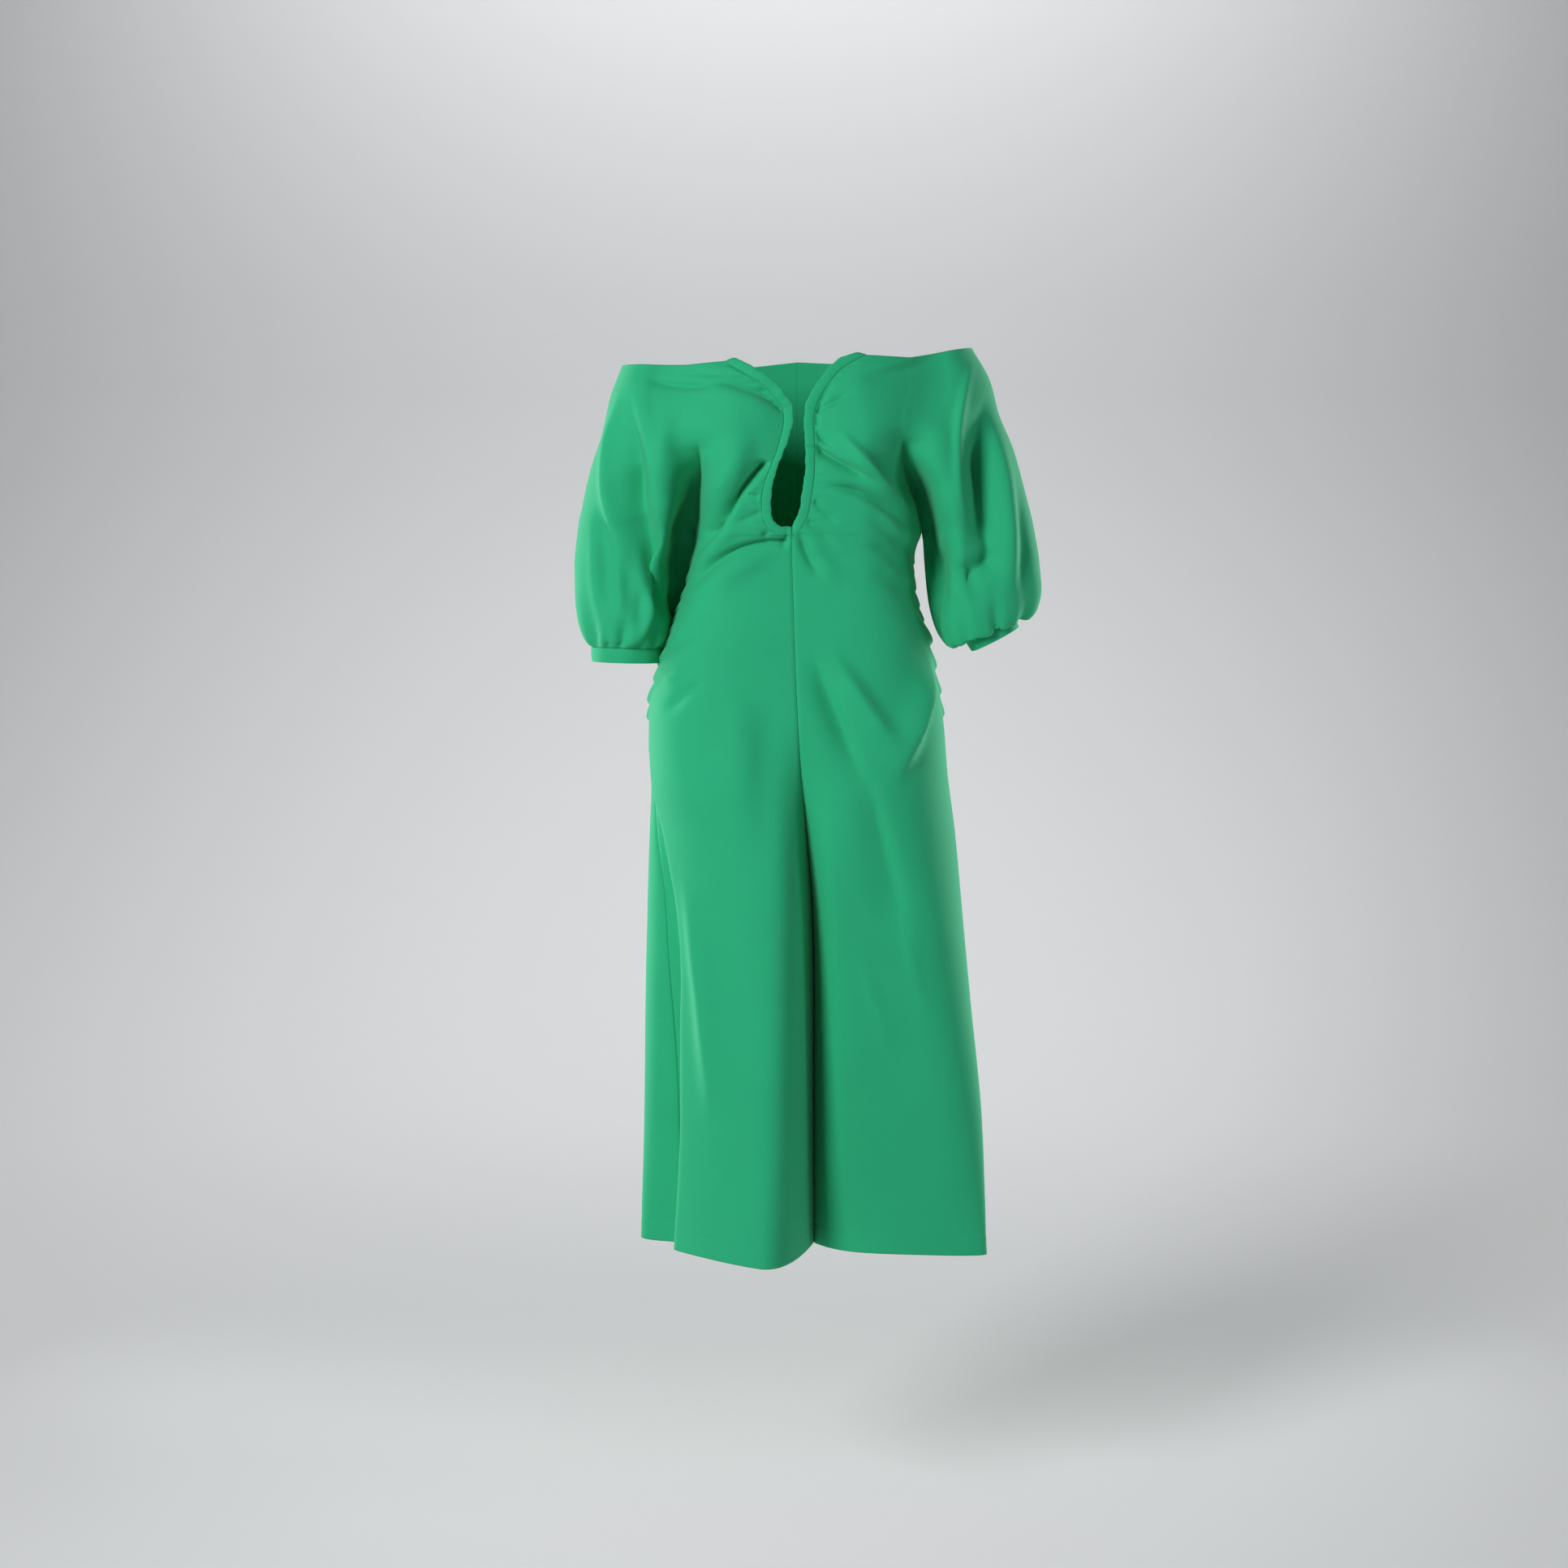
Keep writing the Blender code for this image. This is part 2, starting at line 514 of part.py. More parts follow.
def strip(first, second, first_at, second_at):
    """Triangles between two lines of points, numbered first and second, zipped by their places."""
    made, i, j = [], 0, 0
    while i < len(first) - 1 or j < len(second) - 1:
        if j == len(second) - 1:
            take_first = True
        elif i == len(first) - 1:
            take_first = False
        else:
            take_first = abs(first_at[i + 1] - second_at[j]) <= abs(second_at[j + 1] - first_at[i])
        if take_first:
            made.append((first[i], first[i + 1], second[j]))
            i += 1
        else:
            made.append((first[i], second[j + 1], second[j]))
            j += 1
    return made


def panel_surface(side, face):
    """The outer face of one panel with its half sleeve, flat of folds, and its triangles.

    Also what the folds need: each point's level, distance from the side seam and from the centre."""
    half = Side(side)
    columns = FRONT_COLUMNS if face == "front" else BACK_COLUMNS
    points, facts, triangles, lines = [], [], [], []
    for column in columns:
        levels = column_levels(column)
        line = []
        for level in levels:
            row = half.body_row(face, level, [0.0, column.across, 1.0])
            width = np.linalg.norm(row[2] - row[0]) * FULLNESS
            line.append(len(points))
            points.append(row[1])
            facts.append((level, (1 - column.across) * width, column.across * width, -1.0))
        lines.append((line, levels))
    for (first, first_at), (second, second_at) in zip(lines, lines[1:]):
        triangles += strip(first, second, [-v for v in first_at], [-v for v in second_at])
    rows = []
    side_line, side_levels = lines[-1]
    for number, level in zip(side_line, side_levels):
        if level >= UNDERARM - 1e-6:
            rows.append((level, FEW_PLACES, number))
    rows += [(row.level, row.places, None) for row in SLEEVE_ROWS]
    before = None
    for level, around, shared in rows:
        made = half.sleeve_row(face, level, around)
        numbers = []
        for k, (place, point) in enumerate(zip(around, made)):
            if k == 0 and shared is not None:
                numbers.append(shared)
                continue
            numbers.append(len(points))
            points.append(point)
            facts.append((level, NO_SEAM, NO_SEAM, place))
        if before is not None:
            triangles += [t[::-1] for t in strip(before[0], numbers, before[1], around)]
        before = (numbers, around)
    return np.array(points), np.array(facts), np.array(triangles)


def crotch(side):
    """Where the side seam and the underarm seam meet."""
    return Side(side).body_row("front", UNDERARM, [1.0])[0]


def panel_rise(side, face, points, facts):
    """How far folds and gathers move each point of a panel along its normal."""
    level, from_side, from_centre, around = facts.T
    rise = fold_rise(face, points)
    body = around < 0
    rise += np.where(body & (level < UNDERARM), side_gather_rise(level, from_side), 0)
    if face == "front":
        rise += np.where(body, casing_gather_rise(level, from_centre), 0)
        rise *= np.where(body & (level > CASING_FOOT - 6), smooth(0, 9, from_centre), 1)
    rise += np.where(~body, cuff_gather_rise(level, around), 0)
    calm = smooth(CUFF_SEAM, CUFF_SEAM + 12, level)
    rise *= smooth(5, 30, np.linalg.norm(points - crotch(side), axis=1))
    return rise * np.where(~body, np.maximum(calm, 0.3), 1)


def face_normals(points, triangles):
    a, b, c = (points[triangles[:, k]] for k in range(3))
    return np.cross(b - a, c - a)


def outward(points, triangles):
    """The same triangles, all turned so that they face away from the dress."""
    middle = points[triangles].mean(axis=1)
    facing = (face_normals(points, triangles)[:, 1] * middle[:, 1]).sum()
    return triangles if facing > 0 else triangles[:, ::-1]


def shared_normals(panels):
    """Each panel's point normals, averaged over every panel that meets at the point."""
    total = {}
    for points, triangles in panels:
        normals = face_normals(points, triangles)
        for triangle, normal in zip(triangles, normals):
            unit = normal / max(np.linalg.norm(normal), 1e-9)
            corners = points[triangle]
            for k in range(3):
                ahead = corners[(k + 1) % 3] - corners[k]
                behind = corners[(k + 2) % 3] - corners[k]
                cosine = ahead @ behind / max(np.linalg.norm(ahead) * np.linalg.norm(behind), 1e-9)
                weight = math.acos(max(-1.0, min(1.0, cosine)))
                key = tuple(np.round(corners[k], 2))
                total[key] = total.get(key, 0) + unit * weight
    for side in ("left", "right"):
        total[tuple(np.round(crotch(side), 2))] = np.array([0.0, 0.0, -1.0])
    made = []
    for points, _ in panels:
        normals = np.array([total[tuple(np.round(p, 2))] for p in points])
        made.append(normals / np.linalg.norm(normals, axis=1)[:, None])
    return made


def open_edges(triangles):
    """Directed edges that only one triangle has."""
    edges = {}
    for a, b, c in triangles:
        for edge in ((a, b), (b, c), (c, a)):
            edges[edge] = True
    return [edge for edge in edges if (edge[1], edge[0]) not in edges]


def drawn_back(points, triangles, normals, distance):
    """The points with the panel's edge moved into the panel, to leave half of a seam's gap."""
    inward = np.zeros_like(points)
    for a, b in open_edges(triangles):
        run = points[b] - points[a]
        run = run / max(np.linalg.norm(run), 1e-9)
        for end in (a, b):
            inward[end] += np.cross(normals[end], run)
    size = np.linalg.norm(inward, axis=1)[:, None]
    return points + np.where(size > 0, inward / np.maximum(size, 1e-9), 0) * distance


def cloth_solid(points, triangles, normals, wall):
    """The outer points and the same moved in by the wall, with faces for both and for the rim.

    The rim follows normals that the neighbouring panels share, so that the gap at a seam keeps
    its width through the cloth. A Solidify modifier would tilt each rim by its own panel alone."""
    count = len(points)
    inner = points - normals * wall
    faces = [tuple(t) for t in triangles] + [tuple(count + v for v in t[::-1]) for t in triangles]
    for a, b in open_edges(triangles):
        if np.linalg.norm(points[b] - inner[a]) < np.linalg.norm(points[a] - inner[b]):
            faces += [(b, a, count + a), (b, count + a, count + b)]
        else:
            faces += [(b, a, count + b), (a, count + a, count + b)]
    return np.vstack([points, inner]), faces


def crepe(piece):
    """The green cloth, as a material of this piece's own."""
    made = bpy.data.materials.new(f"{piece}_crepe")
    made.use_nodes = True
    shader = made.node_tree.nodes["Principled BSDF"]
    shader.inputs["Base Color"].default_value = (*CREPE_GREEN, 1)
    shader.inputs["Roughness"].default_value = CREPE_ROUGHNESS
    return made


def add_object(name, points, faces, collection):
    """One mesh object that faces outwards, from points in millimetres."""
    mesh = bpy.data.meshes.new(name)
    body = bmesh.new()
    corners = [body.verts.new(p) for p in np.asarray(points) * MM]
    for face in faces:
        body.faces.new([corners[v] for v in face])
    if body.calc_volume(signed=True) < 0:
        bmesh.ops.reverse_faces(body, faces=body.faces)
    body.to_mesh(mesh)
    body.free()
    mesh.materials.append(crepe(name))
    mesh.shade_smooth()
    made = bpy.data.objects.new(name, mesh)
    collection.objects.link(made)
    return made


def add_panels(collection):
    """The four panels: each is a front or back with its half of the sleeve.

    Gives back each front's casing seam, as points and normals."""
    keys = [(side, face) for side in ("left", "right") for face in ("front", "back")]
    made = {}
    for key in keys:
        points, facts, triangles = panel_surface(*key)
        made[key] = (points, facts, outward(points, triangles))
    plain_normals = shared_normals([(made[k][0], made[k][2]) for k in keys])
    moved = []
    for key, normals in zip(keys, plain_normals):
        points, facts, _ = made[key]
        moved.append(points + normals * panel_rise(*key, points, facts)[:, None])
    moved = seams_agreed([made[k][0] for k in keys], moved)
    folded_normals = shared_normals([(p, made[k][2]) for p, k in zip(moved, keys)])
    seams, count = {}, len(edge_levels())
    for key, points, normals, plain in zip(keys, moved, folded_normals, plain_normals):
        side, face = key
        triangles = made[key][2]
        if face == "front":
            # panel and casing share these even normals, so that the two never touch
            normals[:count] = evened(plain[:count])
            seams[side] = points[:count], normals[:count]
        edged = drawn_back(points, triangles, normals, EDGE_BACK)
        solid, faces = cloth_solid(edged, triangles, normals, WALL)
        add_object(f"{face}_{side}", solid, faces, collection)
    return seams


def evened(vectors):
    """Unit vectors along a line, each drawn towards its neighbours."""
    vectors = vectors.copy()
    for _ in range(6):
        vectors[1:-1] = (vectors[:-2] + 2 * vectors[1:-1] + vectors[2:]) / 4
    return vectors / np.linalg.norm(vectors, axis=1)[:, None]


def seams_agreed(before, after):
    """Where panels share a point, each moves it to the mean of what they all say."""
    total = {}
    for old, new in zip(before, after):
        for key, point in zip(map(tuple, np.round(old, 2)), new):
            total.setdefault(key, []).append(point)
    return [np.array([np.mean(total[key], axis=0) for key in map(tuple, np.round(old, 2))])
            for old in before]


def add_cuff(side, collection):
    """A band that goes on from the sleeve's lowest row, along the arm, and draws in a little."""
    half = Side(side)
    around = np.linspace(0, 1, CUFF_PLACES)
    front = half.sleeve_row("front", CUFF_SEAM, around)
    back = half.sleeve_row("back", CUFF_SEAM, around[::-1])
    ring = np.vstack([front, back[1:-1]])
    middle = ring.mean(axis=0)
    spoke = ring - middle
    down = np.cross(spoke, np.roll(spoke, -1, axis=0)).sum(axis=0)
    down = down / np.linalg.norm(down)
    down = down if down[2] < 0 else -down
    points = []
    for share in CUFF_ROWS:
        girth = 1.0 + 0.012 * math.sin(math.pi * share) - CUFF_DRAW_IN * share
        points.extend(middle + down * (SEAM_GAP + share * CUFF_DEPTH) + spoke * girth)
    count = len(ring)
    faces = []
    for row in range(len(CUFF_ROWS) - 1):
        for k in range(count):
            here, beside = row * count + k, row * count + (k + 1) % count
            faces.append((here, beside, count + beside, count + here))
    cuff = add_object(f"cuff_{side}", points, faces, collection)
    fold = cuff.modifiers.new("double_cloth", "SOLIDIFY")
    fold.thickness = CUFF_WALL * MM
    fold.offset = -1
    edge = cuff.modifiers.new("folded_edge", "BEVEL")
    edge.width = CUFF_EDGE * MM
    edge.segments = 1
    edge.limit_method = "ANGLE"
    edge.angle_limit = math.radians(60)


def add_casing(side, seam, out, collection):
    """The rolled band on the plunge and keyhole: a flat oval carried down the panel's edge."""
    path = table_at(CASINGS[side], edge_levels())
    edge = np.column_stack([path.edge_x, seam[:, 1] - CASING_BACK, path.edge_z])
    run = np.gradient(seam, axis=0)
    run = run / np.linalg.norm(run, axis=1)[:, None]
    across = edge - seam
    square = across - run * (across * run).sum(1)[:, None]
    square = square / np.linalg.norm(square, axis=1)[:, None]
    # the lowest section stands upright, so that the left and right casing meet face to face
    square[-1] = (0, 0, 1)
    start = seam + square * (SEAM_GAP + 0.1)
    across = edge - start
    start[-1, 0] += 0.2 if side == "left" else -0.2
    across[-1, 0] = 0.0
    out = np.vstack([out[:-1], [(0, -1, 0)]])
    out = out - across * ((out * across).sum(1) / (across * across).sum(1))[:, None]
    out = out / np.linalg.norm(out, axis=1)[:, None]
    loops = [start + across * at.share + out * (at.height * CASING_THICK - CASING_SINK)
             for at in CASING_OVAL]
    points = np.array(loops).transpose(1, 0, 2).reshape(-1, 3)
    rows, count = len(seam), len(CASING_OVAL)
    faces = []
    for row in range(rows - 1):
        for k in range(count):
            here, beside = row * count + k, row * count + (k + 1) % count
            faces += [(here, beside, count + beside), (here, count + beside, count + here)]
    first, last = 0, (rows - 1) * count
    for k in range(1, count - 1):
        faces.append((first + k + 1, first + k, first))
        faces.append((last, last + k, last + k + 1))
    add_object(f"casing_{side}", points, faces, collection)


def clear_scene():
    for old in list(bpy.data.objects):
        bpy.data.objects.remove(old)


def main():
    clear_scene()
    dress = bpy.data.collections.new("off_shoulder_dress")
    bpy.context.scene.collection.children.link(dress)
    seams = add_panels(dress)
    for side in ("left", "right"):
        add_cuff(side, dress)
        add_casing(side, *seams[side], dress)


main()
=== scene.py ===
"""Looks of the off-shoulder crepe dress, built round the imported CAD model.

Frame: X towards the wearer's left, Y towards the back, Z up. The tables are in millimetres. A
"level" is the height that a row of cloth has on the centre line: 0 at the neckline, -205 where
body and sleeve part, -1050 at the hem.
"""

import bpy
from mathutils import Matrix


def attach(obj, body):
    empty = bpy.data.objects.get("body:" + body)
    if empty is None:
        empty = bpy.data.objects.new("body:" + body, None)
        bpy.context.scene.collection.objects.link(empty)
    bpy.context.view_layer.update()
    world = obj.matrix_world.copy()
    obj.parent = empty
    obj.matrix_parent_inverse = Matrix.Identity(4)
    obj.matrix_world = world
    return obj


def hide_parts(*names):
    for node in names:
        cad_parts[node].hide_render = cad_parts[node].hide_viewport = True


bl_info = {
    "name": "Off-Shoulder Crepe Dress",
    "version": (1, 0, 0),
    "blender": (4, 5, 0),
    "location": "View3D > Sidebar > Dress",
    "description": "Builds the dress's cloth panels, casings, cuffs and the studio round it",
    "category": "Object",
}

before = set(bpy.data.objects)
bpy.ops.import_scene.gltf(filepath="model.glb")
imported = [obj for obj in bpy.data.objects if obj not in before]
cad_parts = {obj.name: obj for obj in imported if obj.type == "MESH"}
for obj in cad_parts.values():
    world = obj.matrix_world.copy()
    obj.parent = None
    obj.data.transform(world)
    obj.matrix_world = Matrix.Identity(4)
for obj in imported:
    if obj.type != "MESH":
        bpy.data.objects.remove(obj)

import functools
import math
from collections import namedtuple

import bmesh
import bpy
import numpy as np
from bpy.props import FloatProperty, FloatVectorProperty, IntProperty, PointerProperty
from bpy.types import Operator, Panel, PropertyGroup
from mathutils import Vector

MM = 0.001
NECK, UNDERARM, HEM = 0.0, -205.0, -1050.0
CASING_FOOT = -214.0     # level where the two casings meet above the centre seam
HIP = -440.0             # level where the side gathers end and the smooth skirt begins
CUFF_SEAM = -346.0       # sleeve level where the cuff is sewn on
CUFF_DEPTH = 17.5
CUFF_THICK = 2.4
CUFF_DRAW_IN = 0.03      # of its girth, from seam to free edge
CUFF_SWELL, CUFF_RIPPLE = 0.012, 0.006          # of its girth: half way down, and all round
CASING_THICK = 3.0
CASING_SINK = 0.75       # that the casing's middle lies under the cloth's outer face
CASING_BACK = 1.0        # that its free edge stands forward of the seam
CASING_APART = 0.2       # that each casing's end keeps from the middle of the centre seam
CASING_PUCKER, CASING_PUCKER_STEP = 0.16, 8.3   # share of its thickness, and mm down the band
CASING_WOBBLE = 0.3      # of its free edge
ARC_STEPS = 60           # points worked out along each quarter of a section
SEAM_GAP = 0.05          # that casings and cuffs keep from the seam that joins them on

# Body and sleeve part in a valley in front and behind. It starts at one level and is whole at
# the next. Both draw back from its line, the sleeve down to a lower level than the body.
VALLEY_START, VALLEY_WHOLE = -105, -175
BODY_DRAWS_BACK, SLEEVE_DRAWS_BACK = 3.0, 10.0
SLEEVE_VALLEY_END = -330.0
VALLEY_REACH = 38.0
# Above the valley the cloth rounds the same line, over this width and from this level up.
PARTING_EASE, PARTING_START, PARTING_WHOLE = 14.0, -110, -95

# Points across a front body, a back body and half a sleeve, and how much they crowd at the edges.
FRONT_POINTS, BACK_POINTS, SLEEVE_POINTS = 96, 60, 80
BODY_CROWD, SLEEVE_CROWD = 0.62, 0.2
CUFF_POINTS, CUFF_SECTION_POINTS = 57, 28

PHOTO_PIXELS = 1932      # width and height of the photograph
HORIZON_PIXEL = 674      # its row at the camera's own height
PAPER_SIZE, PAPER_FRONT = 14.0, -6.0   # metres wide and long, and where it starts
PAPER_FLAT, PAPER_BEND = 8.0, 1.6      # metres that lie flat, and the radius of its bend

# ---------------------------------------------------------------- the cut of the cloth

# Centre line of the front and back. crease_x, crease_y: the centre front seam, which sinks into a
# deep valley below the hips. crease_fall: how suddenly the cloth falls into it. lean: rise per mm
# towards the wearer's left.
Centre = namedtuple("Centre", "level crease_x crease_y crease_fall back_x back_y back_round lean")
CENTRE = [
    Centre(-1050, 19, 8, 2.2, 14, 100, 2.1, -0.026),
    Centre(-900, 19, 0, 2.5, 13, 105, 2.1, -0.021),
    Centre(-750, 19, -12, 2.6, 11, 110, 2.1, -0.016),
    Centre(-650, 17, -32, 2.6, 9, 113, 2.1, -0.014),
    Centre(-560, 10, -62, 2.4, 7, 117, 2.1, -0.010),
    Centre(-490, 4, -90, 2.0, 5, 120, 2.1, -0.006),
    Centre(-430, 0, -104, 2.0, 3, 120, 2.1, -0.003),
    Centre(-340, -4, -98, 2.0, 2, 108, 2.1, 0.0),
    Centre(-270, -6, -91, 2.0, 1, 91, 2.1, 0.0),
    Centre(-240, -7, -91, 2.0, 1, 86, 2.1, 0.0),
    Centre(-205, -7, -97, 2.0, 0, 86, 2.1, 0.0),
    Centre(-160, -7, -103, 1.8, 0, 90, 2.2, 0.020),
    Centre(-120, -5, -106, 1.7, 0, 94, 2.3, 0.035),
    Centre(-80, -2, -104, 1.7, 0, 95, 2.4, 0.045),
    Centre(-40, 0, -98, 1.7, 0, 92, 2.4, 0.055),
    Centre(0, 0, -90, 1.7, 0, 88, 2.4, 0.055),
]

# Half sections. bulge: the foremost point of that half. side: its outermost point, which above
# the underarm is where the body folds into the sleeve, at the depth that SLEEVES gives.
# front_round: 2 is an ellipse, 1 a flat. seam_ahead: how far the side seam lies in front of the
# outermost point.
Half = namedtuple("Half", "level bulge_x bulge_y side_x side_y front_round seam_ahead")
HALVES = {
    "right": [
        Half(-1050, -40, -110, -188, 10, 1.2, 50),
        Half(-900, -36, -113, -183, 11, 1.35, 50),
        Half(-750, -34, -115, -181, 11, 1.5, 46),
        Half(-650, -33, -115, -179, 14, 1.6, 38),
        Half(-560, -34, -114, -178, 12, 1.75, 16),
        Half(-490, -38, -111, -177, 10, 2.3, 4),
        Half(-430, -42, -107, -176, 8, 2.5, 0),
        Half(-340, -48, -99, -155, 6, 2.6, 0),
        Half(-270, -52, -92, -131, 8, 2.6, 0),
        Half(-240, -55, -92, -124, 10, 2.5, 0),
        Half(-205, -62, -100, -121, 14, 2.2, 0),
        Half(-160, -66, -113, -116, -14, 1.9, 0),
        Half(-120, -68, -122, -113, -68, 1.8, 0),
        Half(-80, -68, -121, -118, -103, 1.6, 0),
        Half(-40, -68, -113, -128, -92, 1.5, 0),
        Half(0, -66, -100, -128, -82, 1.5, 0),
    ],
    "left": [
        Half(-1050, 165, -33, 222, -22, 2.0, -40),
        Half(-900, 160, -52, 217, -16, 2.0, -34),
        Half(-750, 142, -73, 203, -9, 2.1, -26),
        Half(-650, 122, -88, 194, -3, 2.1, -16),
        Half(-560, 98, -101, 186, 3, 2.1, -6),
        Half(-490, 76, -108, 177, 4, 2.3, 0),
        Half(-430, 58, -107, 172, 5, 2.5, 0),
        Half(-340, 48, -99, 155, 6, 2.6, 0),
        Half(-270, 50, -92, 136, 8, 2.6, 0),
        Half(-240, 54, -92, 135, 10, 2.5, 0),
        Half(-205, 66, -101, 147, 12, 2.2, 0),
        Half(-160, 72, -114, 137, -38, 1.9, 0),
        Half(-120, 74, -123, 121, -70, 1.8, 0),
        Half(-80, 74, -122, 120, -104, 1.6, 0),
        Half(-40, 70, -114, 128, -94, 1.5, 0),
        Half(0, 66, -102, 128, -84, 1.5, 0),
    ],
}

# Sleeves, by level: in_x and out_x are the inner and outer outline seen from the front, in_drop
# and out_drop the height of each point against its level. The front hangs forward to a rounded
# edge at lobe_x, lobe_y; back_y is the depth of the back. fold_front_y and fold_back_y are where
# front and back fold from the body into the sleeve. They meet at the underarm, and go on as its
# seam.
Sleeve = namedtuple("Sleeve", "level in_x in_drop out_x out_drop out_y lobe_x lobe_y back_y"
                              " fold_front_y fold_back_y")
SLEEVES = {
    "right": [
        Sleeve(0, -128, -8, -208, 0, 0, -168, -60, 50, -82, 62),
        Sleeve(-40, -128, -5, -223, 0, 0, -172, -74, 62, -92, 66),
        Sleeve(-80, -118, 0, -231, 0, 2, -166, -84, 70, -103, 66),
        Sleeve(-120, -113, 0, -244, 0, 4, -150, -88, 75, -70, 60),
        Sleeve(-160, -116, 0, -253, 0, 6, -156, -79, 77, -10, 46),
        Sleeve(-177, -118, 0, -256, 0, 7, -157, -77, 77, -1, 41),
        Sleeve(-191, -120, 0, -259, 0, 8, -158, -74, 78, 5, 34),
        Sleeve(-205, -121, 0, -261, 0, 8, -157, -69, 78, 14, 14),
        Sleeve(-222, -118.5, 0, -263, 0, 8, -161, -65, 79, 14, 17),
        Sleeve(-245, -124, 0, -265, 0, 9, -166, -61, 79, 14, 22),
        Sleeve(-285, -135, 0, -264, 0, 10, -168, -53, 76, 14, 28),
        Sleeve(-312, -144, -4, -260, -1, 10, -176, -47, 68, 12, 30),
        Sleeve(-330, -150, -5, -254, -1, 10, -188, -40, 59, 14, 26),
        Sleeve(-346, -157, 1, -245, 3, 10, -202, -30, 48, 17, 17),
    ],
    "left": [
        Sleeve(0, 128, -14, 206, -2, 0, 168, -62, 50, -84, 62),
        Sleeve(-40, 128, -9, 227, -1, 0, 174, -76, 60, -94, 66),
        Sleeve(-80, 120, -3, 238, 0, -2, 172, -86, 66, -104, 66),
        Sleeve(-120, 121, 0, 255, 0, -3, 163, -91, 70, -70, 60),
        Sleeve(-160, 137, 0, 267, 0, -4, 180, -88, 70, -10, 46),
        Sleeve(-177, 141, 0, 272, 0, -5, 184, -87, 70, -2, 41),
        Sleeve(-191, 144, 0, 276, 0, -6, 187, -85, 70, 4, 33),
        Sleeve(-205, 147, 0, 279, 0, -6, 190, -82, 69, 12, 12),
        Sleeve(-245, 149, 3, 285, 2, -8, 192, -75, 66, 6, 6),
        Sleeve(-285, 153, -2, 287, 12, -10, 197, -69, 60, 0, 0),
        Sleeve(-312, 162, -10, 282, 16, -12, 204, -64, 50, -6, -6),
        Sleeve(-330, 175, -12, 273, 23, -13, 212, -58, 36, -10, -10),
        Sleeve(-346, 196, 13, 253, 43, -14, 224, -48, 20, -13, -13),
    ],
}

# The gathered casing round the plunge and keyhole, seen from the front: the seam that joins it to
# the cloth, and its free edge.
Casing = namedtuple("Casing", "level seam_x seam_z edge_x edge_z")
CASINGS = {
    "right": [
        Casing(0, -84, -12, -73, -8),
        Casing(-10, -70, -22, -61, -13.5),
        Casing(-20, -55, -31, -47, -22.5),
        Casing(-35, -37, -43, -29, -34),
        Casing(-50, -25, -56, -16, -49),
        Casing(-65, -17, -68, -6.5, -64),
        Casing(-80, -16.5, -80, -5.3, -79),
        Casing(-95, -19, -95, -8.5, -93),
        Casing(-110, -23, -110, -13, -108),
        Casing(-135, -32, -135, -22.5, -131.5),
        Casing(-155, -39.5, -155, -28.7, -153),
        Casing(-172, -42, -172, -31, -171),
        Casing(-186, -41.5, -187, -31, -185),
        Casing(-197, -36, -202, -27, -196.5),
        Casing(-206, -22, -211, -18.5, -201.5),
        Casing(-214, -7, -213, -7, -202),
    ],
    "left": [
        Casing(0, 78, -5, 67, -2),
        Casing(-10, 61, -14, 53, -6.5),
        Casing(-20, 48, -23, 40, -14.5),
        Casing(-35, 36, -37, 27, -30),
        Casing(-50, 26, -51, 16, -46),
        Casing(-65, 19.5, -66, 8.5, -62),
        Casing(-80, 17.5, -81, 6.5, -80),
        Casing(-95, 18, -95, 7, -95),
        Casing(-110, 19, -110, 8, -110),
        Casing(-135, 19, -135, 8.2, -134),
        Casing(-155, 17, -155, 5.8, -153),
        Casing(-172, 14.5, -172, 3.3, -170),
        Casing(-186, 11.5, -188, 0.8, -185),
        Casing(-197, 6, -200, -3, -192.5),
        Casing(-206, -1, -208.5, -5.4, -197.5),
        Casing(-214, -7, -213, -7, -202),
    ],
}

# ---------------------------------------------------------------- folds and gathers

